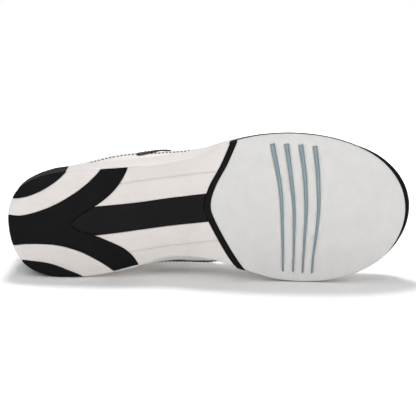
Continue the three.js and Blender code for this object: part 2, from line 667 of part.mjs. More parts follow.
// Lace: a bar over the first pair of eyelets, then crossings up to the last pair.
const overFlange = overlay[1] + flangeGap + flangeThickness + laceRadius + fit;
const overEdge = overlay[1] + laceRadius + upperThickness / 2;
const underLining = -laceRoom / 2;
function throatPoint(side, x, distance, d) {
  const t = tAt(x);
  return lastAt(t, onSide(side, phiAtDistance(t, Math.max(distance, 1e-3))), d);
}
const onAxis = (spot, h) => spot.surface.clone().addScaledVector(spot.normal, h);
const intoHole = (side, k, down) => {
  const spot = spots[side][k];
  const list = [onAxis(spot, 2.3), onAxis(spot, -barrelLength - 0.6), onAxis(spot, -overlay[1] + underLining + 0.7)];
  return down ? list : list.reverse();
};
function crossing(side, k, over) {
  const [xa, xb] = [eyeletX(k), eyeletX(k + 1)];
  const edgeA = throatHalf(xa);
  const edgeB = throatHalf(xb);
  const startsBelow = k === 0;
  const endsAbove = k === eyeletsPerSide - 2;
  const near = startsBelow ? underLining : overEdge;
  const far = endsAbove ? overEdge : underLining;
  const centre = (near + far) / 2 + (over ? 1 : -1) * (laceRadius + 0.4) + (startsBelow ? 1.8 : 0);
  const line = [
    throatPoint(side, mix(xa, xb, 0.16), edgeA + (startsBelow ? -1.5 : 1), near),
    throatPoint(side, mix(xa, xb, 0.3), edgeA * 0.55, mix(near, centre, 0.55)),
    throatPoint(side, mix(xa, xb, 0.5), 0, centre),
    throatPoint(-side, mix(xa, xb, 0.7), edgeB * 0.55, mix(far, centre, 0.55)),
    throatPoint(-side, mix(xa, xb, 0.84), edgeB + (endsAbove ? 1 : -1.5), far),
  ];
  const flangeStep = facingMargin - 3;
  if (!startsBelow) line.unshift(throatPoint(side, mix(xa, xb, 0.06), edgeA + flangeStep, overFlange));
  if (endsAbove) line.push(throatPoint(-side, mix(xa, xb, 0.94), edgeB + flangeStep, overFlange));
  return line;
}
function tail(side) {
  const x = eyeletX(eyeletsPerSide - 1);
  const from = throatHalf(x) + facingMargin;
  return [[5, 4], [9, 10], [11, 20], [12, 32]].map(([out, forward]) =>
    throatPoint(side, x + forward, from + out, underLining));
}
function strand(startSide) {
  let side = startSide;
  const route = [...intoHole(side, 0, true)];
  for (let k = 0; k < eyeletsPerSide - 1; k++) {
    const last = k === eyeletsPerSide - 2;
    route.push(...crossing(side, k, (startSide === OUTER) === (k % 2 === 0)));
    side = -side;
    route.push(...intoHole(side, k + 1, last));
  }
  return { route: [...route, ...tail(side)], side };
}
const barX = eyeletX(0);
const bar = [[-17.6, 0], [-13, 0.3], [-6, 1.6], [0, 2], [6, 1.6], [13, 0.3], [17.6, 0]].map(([y, dip]) =>
  throatPoint(y < 0 ? OUTER : INNER, barX, Math.abs(y), overFlange - dip));
const outerStrand = strand(OUTER);
const innerStrand = strand(INNER);

// A round cord with one ring at each point of its line, turned so that it doesn't twist.
function cord(line, radius, halfSides) {
  const last = line.length - 1;
  const normal = new THREE.Vector3(0, 0, 1);
  const rings = line.map((p, i) => {
    const before = p.clone().sub(line[Math.max(0, i - 1)]).normalize();
    const along = line[Math.min(last, i + 1)].clone().sub(p).normalize().add(before).normalize();
    normal.addScaledVector(along, -normal.dot(along)).normalize();
    return { p, normal: normal.clone(), side: along.clone().cross(normal) };
  });
  const surface = (sign) => (u, v) => {
    const { p, normal: n, side } = rings[Math.round(u * last)];
    const a = sign * Math.PI * v;
    return p.clone().addScaledVector(n, radius * Math.cos(a)).addScaledVector(side, radius * Math.sin(a));
  };
  return gridSolid(last, halfSides, surface(1), surface(-1));
}
const lace = cord([...outerStrand.route.reverse(), ...bar, ...innerStrand.route], laceRadius, 3);
function aglet(side) {
  const x = eyeletX(eyeletsPerSide - 1) + 32;
  const out = throatHalf(eyeletX(eyeletsPerSide - 1)) + facingMargin + 12;
  const gap = laceRadius * 0.6;
  const line = [gap, gap + agletLength / 2, gap + agletLength].map((s) =>
    throatPoint(side, x + s, out + s * 0.06, underLining));
  return cord(line, laceRadius * 0.92, 4);
}

// ---------- finishes ----------
const finish = (color, roughness, metalness = 0) => new THREE.MeshStandardMaterial({ color, roughness, metalness });
const whiteRubber = finish(0xe6e2e0, 0.6);
const blackRubber = finish(0x19191b, 0.65);
const barRubber = finish(0x1f1e1f, 0.6);
const slideFelt = finish(0xd9d8d6, 0.95);
const foam = finish(0xf0eee8, 0.8);
const fibreBoard = finish(0xb9a582, 0.9);
const springSteel = finish(0x8f9398, 0.35, 0.9);
const blackFabric = finish(0x222326, 0.95);
const whiteLeather = finish(0xe9e7e4, 0.5);
const blackLeather = finish(0x1d1d1f, 0.45);
const whiteWebbing = finish(0xe4e4e2, 0.9);
const eyeletMetal = finish(0x55585c, 0.4, 0.6);
const clearTip = finish(0xd8d8d8, 0.3);

const shoe = new THREE.Group();
function add(name, shape, material) {
  const geometry = shape.isBufferGeometry ? shape : toGeometry(shape);
  const mesh = new THREE.Mesh(geometry, material);
  mesh.name = name;
  shoe.add(mesh);
}

add("outsole_cup", cup, whiteRubber);
add("heel_fork", inlays.heel_fork.piece, blackRubber);
add("heel_pad_outer", inlays.heel_pad_outer.piece, blackRubber);
add("heel_pad_inner", inlays.heel_pad_inner.piece, blackRubber);
add("waist_bar", inlays.waist_bar.piece, barRubber);
add("slide_base", slideBase, blackRubber);
add("slide_sole", slideSole, slideFelt);
add("toe_bumper", bumper, blackRubber);
add("midsole", midsole, foam);
add("shank", shank, springSteel);
add("insole_board", board, fibreBoard);
add("sock_liner", sock, blackFabric);
add("vamp", vamp, whiteLeather);
add("vamp_lining", vampLining, blackFabric);
add("toe_puff", toePuff, fibreBoard);
add("toe_cap", toeCap, whiteLeather);
for (const [side, word] of [[OUTER, "outer"], [INNER, "inner"]]) {
  add(`quarter_${word}`, punched(quarter(side), side), whiteLeather);
  add(`quarter_lining_${word}`, punched(sideLining(side), side, 1.2), blackFabric);
  add(`facing_${word}`, punched(facing(side), side), whiteLeather);
  add(`side_stripe_${word}`, stripe(side), blackLeather);
  add(`aglet_${word}`, aglet(side), clearTip);
  spots[side].forEach((spot, k) => add(`eyelet_${word}_${k + 1}`, eyeletRing(spot), eyeletMetal));
}
add("heel_counter", counter, fibreBoard);
add("heel_overlay", heelOverlay, blackLeather);
add("collar_pad", collarPad, blackFabric);
add("heel_loop", heelLoop(), blackFabric);
add("tongue", tongue, whiteLeather);
add("tongue_label", tongueLabel, blackLeather);
add("lace", lace, whiteWebbing);

// Origin at the middle of the base.
const box = new THREE.Box3().setFromObject(shoe);
const middle = box.getCenter(new THREE.Vector3());
shoe.position.set(-middle.x, -middle.y, -box.min.z);
const part = new THREE.Group();
part.add(shoe);
export default part;
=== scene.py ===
# %% [markdown]
# # A bowling shoe
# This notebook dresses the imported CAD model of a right-foot bowling shoe. The CAD model gives the frame: its
# bodies, its joints and the room each piece has. Every piece that shows is built again here, smooth and with
# its real finish, in the same place.

import math

import bmesh
import bpy
import numpy as np
from mathutils import Matrix, Vector
from mathutils.geometry import delaunay_2d_cdt


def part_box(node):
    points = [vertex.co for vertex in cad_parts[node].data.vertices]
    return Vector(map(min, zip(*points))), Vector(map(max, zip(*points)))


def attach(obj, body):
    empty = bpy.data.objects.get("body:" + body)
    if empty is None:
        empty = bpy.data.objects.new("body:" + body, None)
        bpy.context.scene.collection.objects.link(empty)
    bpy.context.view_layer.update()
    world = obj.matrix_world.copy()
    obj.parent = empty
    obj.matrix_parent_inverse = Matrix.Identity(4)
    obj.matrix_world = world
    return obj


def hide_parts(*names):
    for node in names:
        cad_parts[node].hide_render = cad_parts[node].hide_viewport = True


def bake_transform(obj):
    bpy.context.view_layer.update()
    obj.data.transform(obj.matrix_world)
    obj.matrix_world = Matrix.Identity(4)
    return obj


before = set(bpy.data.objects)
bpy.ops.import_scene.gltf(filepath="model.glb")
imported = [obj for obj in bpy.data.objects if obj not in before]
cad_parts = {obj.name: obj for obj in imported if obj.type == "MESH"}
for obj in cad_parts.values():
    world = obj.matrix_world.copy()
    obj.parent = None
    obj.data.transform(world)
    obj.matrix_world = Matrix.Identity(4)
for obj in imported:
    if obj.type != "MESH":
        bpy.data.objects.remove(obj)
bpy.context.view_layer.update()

# %% [markdown]
# ## The pattern
# A shoemaker starts from a pattern: the plan of the sole, drawn in millimetres from the heel's back. The
# outline is a centripetal Catmull-Rom curve, which passes through each point without overshooting. It is
# sampled once into a table, so that any place on the edge can be looked up for whole arrays of points.

# %% Sole outline
MM = 0.001
OUTER = -1
INNER = 1
HEEL_BACK = [(0, 0)]
TOE_TIP = [(298, 9)]
OUTER_EDGE = [
    (2, -16), (10, -29), (26, -37), (50, -40), (85, -39.5), (115, -38.5), (145, -42.5),
    (172, -51), (198, -54), (228, -51.5), (256, -43), (280, -28), (294, -9),
]
INNER_EDGE = [
    (3, 16), (11, 29), (26, 37.5), (52, 40.5), (85, 38), (120, 32.5), (150, 36.5),
    (172, 46), (198, 55.5), (230, 59.3), (258, 55.5), (280, 45), (294, 27),
]


def hermite(w, a, b, slope_a, slope_b):
    w = w[:, None]
    return (
        a * (2 * w**3 - 3 * w**2 + 1)
        + slope_a * (w**3 - 2 * w**2 + w)
        + b * (3 * w**2 - 2 * w**3)
        + slope_b * (w**3 - w**2)
    )


def centripetal(points, per_span, closed):
    """Points along a centripetal Catmull-Rom curve."""
    p = np.array(points, float)
    n = len(p)
    spans = n if closed else n - 1
    w = np.arange(per_span) / per_span
    out = []
    for i in range(spans):
        if closed:
            a, b, c, d = (p[(i + k) % n] for k in (-1, 0, 1, 2))
        else:
            b, c = p[i], p[i + 1]
            a = p[i - 1] if i else 2 * b - c
            d = p[i + 2] if i + 2 < n else 2 * c - b
        da, db, dc = (max(np.linalg.norm(q - r), 1e-9) ** 0.5 for q, r in ((b, a), (c, b), (d, c)))
        s1 = ((b - a) / da - (c - a) / (da + db) + (c - b) / db) * db
        s2 = ((c - b) / db - (d - b) / (db + dc) + (d - c) / dc) * db
        out.append(hermite(w, b, c, s1, s2))
    out.append(p[:1] if closed else p[-1:])
    return np.vstack(out)


EDGE = centripetal(HEEL_BACK + OUTER_EDGE + TOE_TIP + INNER_EDGE[::-1], 120, closed=True)
EDGE_U = np.linspace(0, 1, len(EDGE))
slope = np.roll(EDGE[:-1], -1, 0) - np.roll(EDGE[:-1], 1, 0)
slope = np.vstack([slope, slope[:1]])
slope /= np.linalg.norm(slope, axis=1)[:, None]
EDGE_OUT = np.column_stack([slope[:, 1], -slope[:, 0]])

sole_low, sole_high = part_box("slide_sole")
ORIGIN_X = EDGE[:, 0].max() - sole_high.x / MM
ORIGIN_Y = (EDGE[:, 1].min() + EDGE[:, 1].max()) / 2 - (sole_low.y + sole_high.y) / 2 / MM
print("pattern origin in the row frame, mm:", round(ORIGIN_X, 2), round(ORIGIN_Y, 2))


def to_row(points):
    """Pattern millimetres to metres in the row frame."""
    return (np.asarray(points, float) - (ORIGIN_X, ORIGIN_Y, 0)) * MM


def edge_point(t, side, out=0.0):
    """A point of the edge at station t, moved outwards in plan. side is OUTER or INNER."""
    u = t / 2 if side == OUTER else 1 - t / 2
    x = np.interp(u, EDGE_U, EDGE[:, 0]) + out * np.interp(u, EDGE_U, EDGE_OUT[:, 0])
    y = np.interp(u, EDGE_U, EDGE[:, 1]) + out * np.interp(u, EDGE_U, EDGE_OUT[:, 1])
    return x, y


# %% [markdown]
# ## Heights along the shoe
# The sole isn't flat. The heel's back is bevelled, the waist is lifted off the ground between heel and ball,
# and the toe springs up, so that the shoe rolls forward when its wearer slides.

# %% Height rules
HEEL_HEIGHT = 22
BALL_HEIGHT = 11.5
TOE_SPRING = 14
HEEL_BEVEL = 4
ARCH_LIFT = 3.5
FLANK_RISE = 3
RIM_RISE = 6


def smooth(a, b, x):
    w = np.clip((np.asarray(x, float) - a) / (b - a), 0, 1)
    return w * w * (3 - 2 * w)


def mix(a, b, w):
    return a + (b - a) * w


def spring(x):
    return TOE_SPRING * np.maximum(0, (x - 228) / 70) ** 2


def waist_bump(x):
    s = np.clip((x - 117) / 38, -1, 1)
    return (1 + np.cos(np.pi * s)) / 2


def ground_z(x):
    return HEEL_BEVEL * np.maximum(0, (12 - x) / 12) ** 2 + ARCH_LIFT * waist_bump(x) + spring(x)


def bed_z(x):
    return mix(HEEL_HEIGHT, BALL_HEIGHT, smooth(60, 190, x)) + spring(x)


def rim_z(x):
    return bed_z(x) + RIM_RISE


def along_shoe(values):
    """A smooth value from a list given at even stations, heel to toe."""
    v = np.array(values, float)
    n = len(v)

    def at(t):
        q = np.clip(t, 0, 1) * (n - 1)
        i = np.minimum(q.astype(int) if hasattr(q, "astype") else int(q), n - 2)
        w = q - i
        a, b, c, d = (v[np.clip(i + k, 0, n - 1)] for k in (-1, 0, 1, 2))
        s1, s2 = (c - a) / 2, (d - b) / 2
        return (2 * b - 2 * c + s1 + s2) * w**3 + (3 * c - 3 * b - 2 * s1 - s2) * w**2 + s1 * w + b

    return at


# %% [markdown]
# ## The last
# A shoe is pulled over a last, a foot-shaped form. Here the last is a rule: at each station it is half of a
# rounded arch from one feather edge, over the ridge, to the other. Every panel of the upper is a patch of
# this surface at its own distance from it, so the layers follow each other like real leather.

# %% Last surface
outer_swell = along_shoe([-8, -8, -8, -7, -5, 1.6, 3.2, -0.4, -5.6, -8.5, -9, -9, -9, -9, -9])
inner_swell = along_shoe([-8, -8, -8, -7, -6, 2, 9, 6.5, -3.5, -8, -9, -9, -9, -9, -9])
ridge = along_shoe([90, 91, 92, 94, 96, 93, 77, 66, 58, 50, 42.5, 36, 28.5, 17, 0])
side_round = along_shoe([0.8, 0.8, 0.8, 0.8, 0.8, 0.8, 0.8, 0.75, 0.7, 0.62, 0.6, 0.6, 0.6, 0.65, 0.7])
top_round = along_shoe([1, 1, 1, 1, 1, 0.95, 0.88, 0.84, 0.8, 0.76, 0.72, 0.68, 0.66, 0.7, 0.8])
tuck = along_shoe([0.1, 0.1, 0.1, 0.1, 0.12, 0.18, 0.25, 0.2, 0.1, 0.06, 0.05, 0.05, 0.05, 0.05, 0.05])
outer_flare = along_shoe([0, 0, 0, 0, 0.5, 2, 4, 3, 0, -1, -1, -1, -0.5, 0, 0])
inner_flare = along_shoe([0, 0, 0, 0, 0.5, 3, 6, 4, 0, -1, -1, -1, -0.5, 0, 0])

FIT = 0.3
LINING = (0.0, 1.2)
UPPER = (3.0, 4.6)
OVERLAY = (4.9, 6.1)


def last_point(t, angle, d=0.0):
    """Points on the last, as an array with x, y and z in its last axis."""
    t, angle, d = np.broadcast_arrays(np.asarray(t, float), np.asarray(angle, float), np.asarray(d, float))
    phi = np.clip(angle, 0, np.pi)
    below = 40 * np.abs(angle - phi)
    ox, oy = edge_point(t, OUTER, outer_swell(t) + d)
    ix, iy = edge_point(t, INNER, inner_swell(t) + d)
    c = np.cos(phi)
    s = np.maximum(0, np.sin(phi))
    reach = np.sign(c) * np.abs(c) ** side_round(t) * (1 - tuck(t) * (1 - s) ** 4)
    x = (ox + ix) / 2 + (ox - ix) / 2 * reach
    y = (oy + iy) / 2 + (oy - iy) / 2 * reach
    z = bed_z((ox + ix) / 2) + (ridge(t) + d) * s ** top_round(t) - below
    lean = z - 2 * HEEL_HEIGHT
    x = x + np.where(lean > 0, 0.006, 0.008) * lean**2 * (1 - smooth(0, 60, x))
    return np.stack([x, y, z], axis=-1)


def solve(f, low, high, like):
    """Root of a rising function, for a whole array at once."""
    a = np.full(np.shape(like), float(low))
    b = np.full(np.shape(like), float(high))
    for _ in range(34):
        m = (a + b) / 2
        under = f(m) < 0
        a = np.where(under, m, a)
        b = np.where(under, b, m)
    return (a + b) / 2


MIDDLE_T = np.linspace(0, 1, 2001)
MIDDLE_X = (edge_point(MIDDLE_T, OUTER)[0] + edge_point(MIDDLE_T, INNER)[0]) / 2


def station(x):
    return np.interp(x, MIDDLE_X, MIDDLE_T)


def middle_x(t):
    return np.interp(t, MIDDLE_T, MIDDLE_X)


def angle_at_height(t, height, d=0.0):
    """Angle on the outer half where the last reaches a height, given as a rule of x."""
    t = np.asarray(t, float)

    def short(phi):
        p = last_point(t, phi, d)
        return p[..., 2] - height(p[..., 0])

    return solve(short, 0, np.pi / 2, t)


def angle_at_distance(t, distance):
    """Angle on the outer half at a plan distance from the ridge."""
    t = np.asarray(t, float)
    top = last_point(t, np.pi / 2)

    def short(phi):
        return distance - np.linalg.norm((last_point(t, phi) - top)[..., :2], axis=-1)

    return solve(short, 0, np.pi / 2, t)


def on_side(side, phi):
    return phi if side == OUTER else np.pi - phi


heights = [last_point(t, np.pi / 2)[2] for t in (0.1, 0.6)]
print("last height at the heel and the ball, mm:", *heights)

# %% [markdown]
# ## Camera
# The shoe lies on its inner side and shows its sole. A long lens keeps the sole's outline flat, as in a
# catalogue picture. The camera is placed from the point of the sole that fills the middle of the frame.

# %% Camera
LENS = 140
VIEW_WIDTH = 309.5
TILT = math.radians(9.0)
TURN = math.radians(4.9)
LOOK_AT = (149.6, -3.2, 0.0)

right = Vector((1, 0, 0))
up = Vector((0, -math.cos(TILT), math.sin(TILT)))
forward = Vector((0, math.sin(TILT), math.cos(TILT)))
cam_right = math.cos(TURN) * right - math.sin(TURN) * up
cam_up = math.sin(TURN) * right + math.cos(TURN) * up
distance = VIEW_WIDTH * LENS / 36 * MM
eye = Vector(to_row(LOOK_AT)) - forward * distance

camera_data = bpy.data.cameras.new("camera")
camera_data.lens = LENS
camera_data.sensor_width = 36
camera_data.clip_end = 50
camera = bpy.data.objects.new("camera", camera_data)
camera.matrix_world = Matrix(
    (
        (cam_right.x, cam_up.x, -forward.x, eye.x),
        (cam_right.y, cam_up.y, -forward.y, eye.y),
        (cam_right.z, cam_up.z, -forward.z, eye.z),
        (0, 0, 0, 1),
    )
)
bpy.context.scene.collection.objects.link(camera)
bpy.context.scene.camera = camera
print("camera distance, m:", round(distance, 3))

# %% [markdown]
# ## Finishes
# Every finish is a small node tree. Constants go straight on the shader's own sockets and the patterns read
# Object coordinates or the piece's own UV map, so they stay put when the view or the pose changes.

# %% Node helpers
def rgb(*levels):
    """Linear colour from a display colour in 0 to 255."""
    shares = [level / 255 for level in levels]
    linear = [v / 12.92 if v <= 0.04045 else ((v + 0.055) / 1.055) ** 2.4 for v in shares]
    return (*linear, 1)


def put(tree, kind, inputs=None, **settings):
    """Adds a node; a socket given as an input is linked and anything else is set."""
    node = tree.nodes.new(kind)
    for key, value in settings.items():
        setattr(node, key, value)
    for key, value in (inputs or {}).items():
        if isinstance(value, bpy.types.NodeSocket):
            tree.links.new(value, node.inputs[key])
        else:
            node.inputs[key].default_value = value
    return node


def math_node(tree, operation, *values):
    return put(tree, "ShaderNodeMath", dict(enumerate(values)), operation=operation).outputs[0]


def set_colour(tree, shader, share, first, second):
    """Colours the surface by a share of one colour and the other."""
    node = put(tree, "ShaderNodeMix", data_type="RGBA")
    sockets = {socket.name: socket for socket in node.inputs if socket.enabled}
    tree.links.new(share, sockets["Factor"])
    sockets["A"].default_value = first
    sockets["B"].default_value = second
    mixed = [socket for socket in node.outputs if socket.enabled][0]
    tree.links.new(mixed, shader.inputs["Base Color"])


def noise(tree, place, scale, detail=3.0, roughness=0.55):
    inputs = {"Vector": place, "Scale": scale, "Detail": detail, "Roughness": roughness}
    return put(tree, "ShaderNodeTexNoise", inputs).outputs[0]


def stretch(tree, place, x, y, z):
    return put(tree, "ShaderNodeMapping", {"Vector": place, "Scale": (x, y, z)}).outputs[0]


def span(tree, value, low, high, to_low=0.0, to_high=1.0):
    inputs = {"Value": value, "From Min": low, "From Max": high, "To Min": to_low, "To Max": to_high}
    return put(tree, "ShaderNodeMapRange", inputs).outputs[0]


def start_finish(name, colour, roughness, **constants):
    """A material with its shader, and the Object coordinates its patterns read."""
    material = bpy.data.materials.new(name)
    material.use_nodes = True
    tree = material.node_tree
    shader = tree.nodes["Principled BSDF"]
    shader.inputs["Base Color"].default_value = colour
    shader.inputs["Roughness"].default_value = roughness
    material.diffuse_color = colour
    for key, value in constants.items():
        shader.inputs[key.replace("_", " ")].default_value = value
    place = tree.nodes.new("ShaderNodeTexCoord").outputs["Object"]
    return material, tree, shader, place


def set_bump(tree, shader, layers):
    """Bumps laid over each other: (height socket, depth in mm, strength)."""
    normal = None
    for height, depth, strength in layers:
        bump = put(tree, "ShaderNodeBump", {"Height": height, "Distance": depth * MM, "Strength": strength})
        if normal:
            tree.links.new(normal, bump.inputs["Normal"])
        normal = bump.outputs[0]
    tree.links.new(normal, shader.inputs["Normal"])


# %% [markdown]
# ### Rubber
# Moulded rubber has a satin skin with very fine grain. It scuffs: the colour drifts slightly and the gloss
# is broken where it has been handled. Three layers of noise do this, from palm-sized down to a third of a
# millimetre.

# %% Rubber finishes
def rubber(name, clean, worn, roughness, grain, shine):
    material, tree, shader, place = start_finish(name, clean, roughness, Specular_IOR_Level=shine)
    cloud = noise(tree, place, 38.0, 4.0)
    scuff = noise(tree, stretch(tree, place, 90, 320, 220), 1.0, 5.0, 0.65)
    share = math_node(tree, "MULTIPLY", span(tree, cloud, 0.42, 0.72), span(tree, scuff, 0.38, 0.7))
    set_colour(tree, shader, share, clean, worn)
    tree.links.new(span(tree, scuff, 0.3, 0.7, roughness - 0.07, roughness + 0.1), shader.inputs["Roughness"])
    fine = noise(tree, place, 2600.0, 2.0)
    set_bump(tree, shader, [(scuff, 0.05, 0.25), (fine, 0.03, grain)])
    return material


WHITE_RUBBER = rubber("white_rubber", rgb(207, 202, 199), rgb(195, 189, 185), 0.5, 0.35, 0.3)
BLACK_RUBBER = rubber("black_rubber", rgb(16, 16, 18), rgb(26, 25, 25), 0.6, 0.6, 0.06)
# The bar's rubber is a lighter copy of the black rubber: painted highlight, standing in for the brighter sheen
# the bar shows.
BAR_RUBBER_PAINTED_HIGHLIGHT = rubber("bar_rubber", rgb(22, 21, 22), rgb(31, 30, 30), 0.62, 0.6, 0.06)

# %% [markdown]
# ### The slide sole's suede
# The forepart slides on the approach, so it is faced with a fine-napped synthetic suede. It is very matt,
# with short fibres that lie mostly along the shoe and a faint mottle. The stripes in it are printed ink:
# smoother, blue-grey, with the nap just showing through.

# %% Suede and ink
def suede(name, light, dark, roughness):
    soft = {"Specular_IOR_Level": 0.25, "Sheen_Weight": 0.15}
    material, tree, shader, place = start_finish(name, light, roughness, **soft)
    nap = noise(tree, stretch(tree, place, 700, 1700, 1700), 1.0, 3.0, 0.6)
    mottle = noise(tree, place, 95.0, 5.0, 0.6)
    fibres = math_node(tree, "MULTIPLY", nap, 0.45)
    share = math_node(tree, "ADD", fibres, math_node(tree, "MULTIPLY", mottle, 0.55))
    set_colour(tree, shader, span(tree, share, 0.35, 0.68), light, dark)
    set_bump(tree, shader, [(mottle, 0.08, 0.15), (nap, 0.07, 0.5)])
    return material


SLIDE_SUEDE = suede("slide_suede", rgb(203, 202, 200), rgb(194, 193, 191), 0.92)
STRIPE_INK = suede("stripe_ink", rgb(131, 150, 156), rgb(116, 135, 143), 0.7)

# %% [markdown]
# ### Leather
# The upper is a smooth full-grain leather with a light finish. Its grain is a net of tiny cells about a
# millimetre across, with pores between them, and it creases where the foot bends. Cell noise gives the net
# and a stretched noise gives the creases.

# %% Leather finishes
def leather(name, clean, shade, roughness, cell, crease=0.3):
    glaze = {"Specular_IOR_Level": 0.45, "Coat_Weight": 0.08}
    material, tree, shader, place = start_finish(name, clean, roughness, **glaze)
    at_cells = {"Vector": place, "Scale": 1000 / cell}
    cells = put(tree, "ShaderNodeTexVoronoi", at_cells, feature="DISTANCE_TO_EDGE")
    net = span(tree, cells.outputs["Distance"], 0.0, 0.12)
    cloud = noise(tree, place, 55.0, 4.0)
    wrinkle = noise(tree, stretch(tree, place, 260, 70, 140), 1.0, 3.0)
    set_colour(tree, shader, span(tree, cloud, 0.35, 0.75), clean, shade)
    tree.links.new(span(tree, net, 0.0, 1.0, roughness + 0.15, roughness), shader.inputs["Roughness"])
    set_bump(tree, shader, [(wrinkle, 0.35, crease), (net, 0.05, 0.35)])
    return material


WHITE_LEATHER = leather("white_leather", rgb(222, 219, 216), rgb(211, 207, 204), 0.42, 0.9)
BLACK_LEATHER = leather("black_leather", rgb(27, 27, 29), rgb(36, 36, 38), 0.4, 0.8)

# %% [markdown]
# ### Cloth, thread, board and metal
# The lining, the collar and the sock are a knitted mesh: rows of small open loops. Two crossed waves make
# the knit's relief, and its colour is darker where the loops sink: painted shade between them. The sewing
# thread has a twist, the eyelets are brushed gunmetal, and the hidden boards and steel are plain but not flat.

# %% Other finishes
def knit(name, light, dark, pitch):
    soft = {"Specular_IOR_Level": 0.2, "Sheen_Weight": 0.2}
    material, tree, shader, place = start_finish(name, light, 0.92, **soft)
    rows = 314 / pitch
    waves = []
    for axes in ((rows, 0, rows), (0, rows, -rows)):
        at_rows = {"Vector": stretch(tree, place, *axes), "Scale": 1.0, "Distortion": 0.6}
        waves.append(put(tree, "ShaderNodeTexWave", at_rows).outputs["Fac"])
    loops = math_node(tree, "MULTIPLY", *waves)
    fibre = noise(tree, place, 3000.0, 2.0)
    share = math_node(tree, "MULTIPLY", span(tree, loops, 0.0, 0.6), span(tree, fibre, 0.2, 0.6))
    # painted shade: the knit is coloured darker where its loops sink, and the fibre noise varies its tone
    set_colour(tree, shader, share, dark, light)
    set_bump(tree, shader, [(loops, 0.25, 0.6), (fibre, 0.06, 0.4)])
    return material


def grainy(name, light, dark, roughness, scale, bump, **constants):
    material, tree, shader, place = start_finish(name, light, roughness, **constants)
    grain = noise(tree, place, scale, 4.0)
    set_colour(tree, shader, span(tree, grain, 0.3, 0.7), dark, light)
    set_bump(tree, shader, [(grain, bump, 0.4)])
    return material


BLACK_KNIT = knit("black_knit", rgb(44, 45, 48), rgb(22, 22, 24), 1.5)
BLACK_THREAD = grainy("black_thread", rgb(48, 48, 50), rgb(26, 26, 28), 0.8, 3500.0, 0.04)
WHITE_THREAD = grainy("white_thread", rgb(240, 239, 236), rgb(214, 212, 208), 0.75, 3500.0, 0.04)
GUNMETAL = grainy("gunmetal", rgb(118, 121, 126), rgb(92, 95, 100), 0.32, 2200.0, 0.01, Metallic=1.0)
LACE_TIP = grainy("lace_tip", rgb(226, 227, 229), rgb(206, 208, 211), 0.22, 900.0, 0.01, Coat_Weight=0.4)
FIBRE_BOARD = grainy("fibre_board", rgb(190, 170, 136), rgb(158, 138, 104), 0.9, 900.0, 0.1)
FOAM = grainy("foam", rgb(240, 238, 232), rgb(222, 219, 210), 0.85, 1300.0, 0.12)
SPRING_STEEL = grainy("spring_steel", rgb(160, 164, 170), rgb(128, 132, 138), 0.34, 700.0, 0.01, Metallic=1.0)

# %% [markdown]
# ## Making meshes
# Two builders make nearly every piece. One closes a wall between two surfaces drawn over the same grid,
# which suits panels of the upper. The other does the same over a free triangle net, which suits the sole.

# %% Mesh builders
def in_scene(name, data):
    """A new object at the origin, in the scene."""
    thing = bpy.data.objects.new(name, data)
    bpy.context.scene.collection.objects.link(thing)
    return thing


def new_piece(name, points, faces, material, uv=None):
    """An object at the origin whose mesh holds its place, given in pattern millimetres."""
    mesh = bpy.data.meshes.new(name)
    mesh.from_pydata(to_row(points).tolist(), [], [list(f) for f in faces])
    mesh.materials.append(material)
    if uv is not None:
        layer = mesh.uv_layers.new(name="UVMap")
        loops = np.empty(len(mesh.loops), np.int32)
        mesh.loops.foreach_get("vertex_index", loops)
        layer.data.foreach_set("uv", np.asarray(uv, np.float32)[loops].ravel())
    mesh.polygons.foreach_set("use_smooth", np.ones(len(mesh.polygons), bool))
    return in_scene(name, mesh)


def tidy_mesh(piece, merge=0.004):
    """Welds shared points and turns every face outwards."""
    work = bmesh.new()
    work.from_mesh(piece.data)
    bmesh.ops.remove_doubles(work, verts=work.verts, dist=merge * MM)
    bmesh.ops.dissolve_degenerate(work, dist=merge * MM, edges=work.edges)
    bmesh.ops.recalc_face_normals(work, faces=work.faces)
    work.to_mesh(piece.data)
    work.free()
    piece.data.polygons.foreach_set("use_smooth", np.ones(len(piece.data.polygons), bool))
    return piece


def soften_edges(piece, width, segments=2, angle=45):
    bevel = piece.modifiers.new("edges", "BEVEL")
    bevel.width = width * MM
    bevel.segments = segments
    bevel.limit_method = "ANGLE"
    bevel.angle_limit = math.radians(angle)
    bevel.harden_normals = False
    return piece


def grid_faces(nu, nv, offset=0, flip=False):
    i, j = np.meshgrid(np.arange(nu), np.arange(nv), indexing="ij")
    a = offset + i * (nv + 1) + j
    quads = np.stack([a, a + nv + 1, a + nv + 2, a + 1], axis=-1).reshape(-1, 4)
    return quads[:, ::-1] if flip else quads


def walled_grid(front, back):
    """Points and faces of the closed body between two (nu+1, nv+1, 3) surfaces."""
    nu, nv = front.shape[0] - 1, front.shape[1] - 1
    count = (nu + 1) * (nv + 1)
    points = np.vstack([front.reshape(-1, 3), back.reshape(-1, 3)])
    ring = [i * (nv + 1) for i in range(nu)] + [nu * (nv + 1) + j for j in range(nv)]
    ring += [i * (nv + 1) + nv for i in range(nu, 0, -1)] + list(range(nv, 0, -1))
    walls = [(a, b, b + count, a + count) for a, b in zip(ring, ring[1:] + ring[:1])]
    faces = [*grid_faces(nu, nv).tolist(), *grid_faces(nu, nv, count, True).tolist(), *walls]
    return points, faces


def shell(title, front, back, material, bevel, segments=2):
    """A closed piece between two surfaces, with its edges softened."""
    piece = tidy_mesh(new_piece(title + "_skin", *walled_grid(front, back), material))
    return soften_edges(piece, bevel, segments) if bevel else piece


# %% [markdown]
# ## The skin of the sole
# The bottom and the side wall of the sole are one skin. It is laid out flat like a paper pattern: inside the
# sole's edge the pattern is the plan itself, and outside the edge the distance from it becomes the height up
# the wall. All the joints between the rubber pieces are drawn once on that pattern, one triangle net is cut
# along them, and each piece takes its own triangles. Neighbours then fit each other exactly.

# %% Sole skin
EDGE_ROUND = 1.2
ROUND_RISE = 0.43 * EDGE_ROUND
CREASE_SHARE = 0.62
half = (len(EDGE) - 1) // 2
OUTER_HALF = EDGE[: half + 1]
INNER_HALF = EDGE[half:][::-1]
SPACING = np.linalg.norm(np.diff(EDGE, axis=0), axis=1).mean()


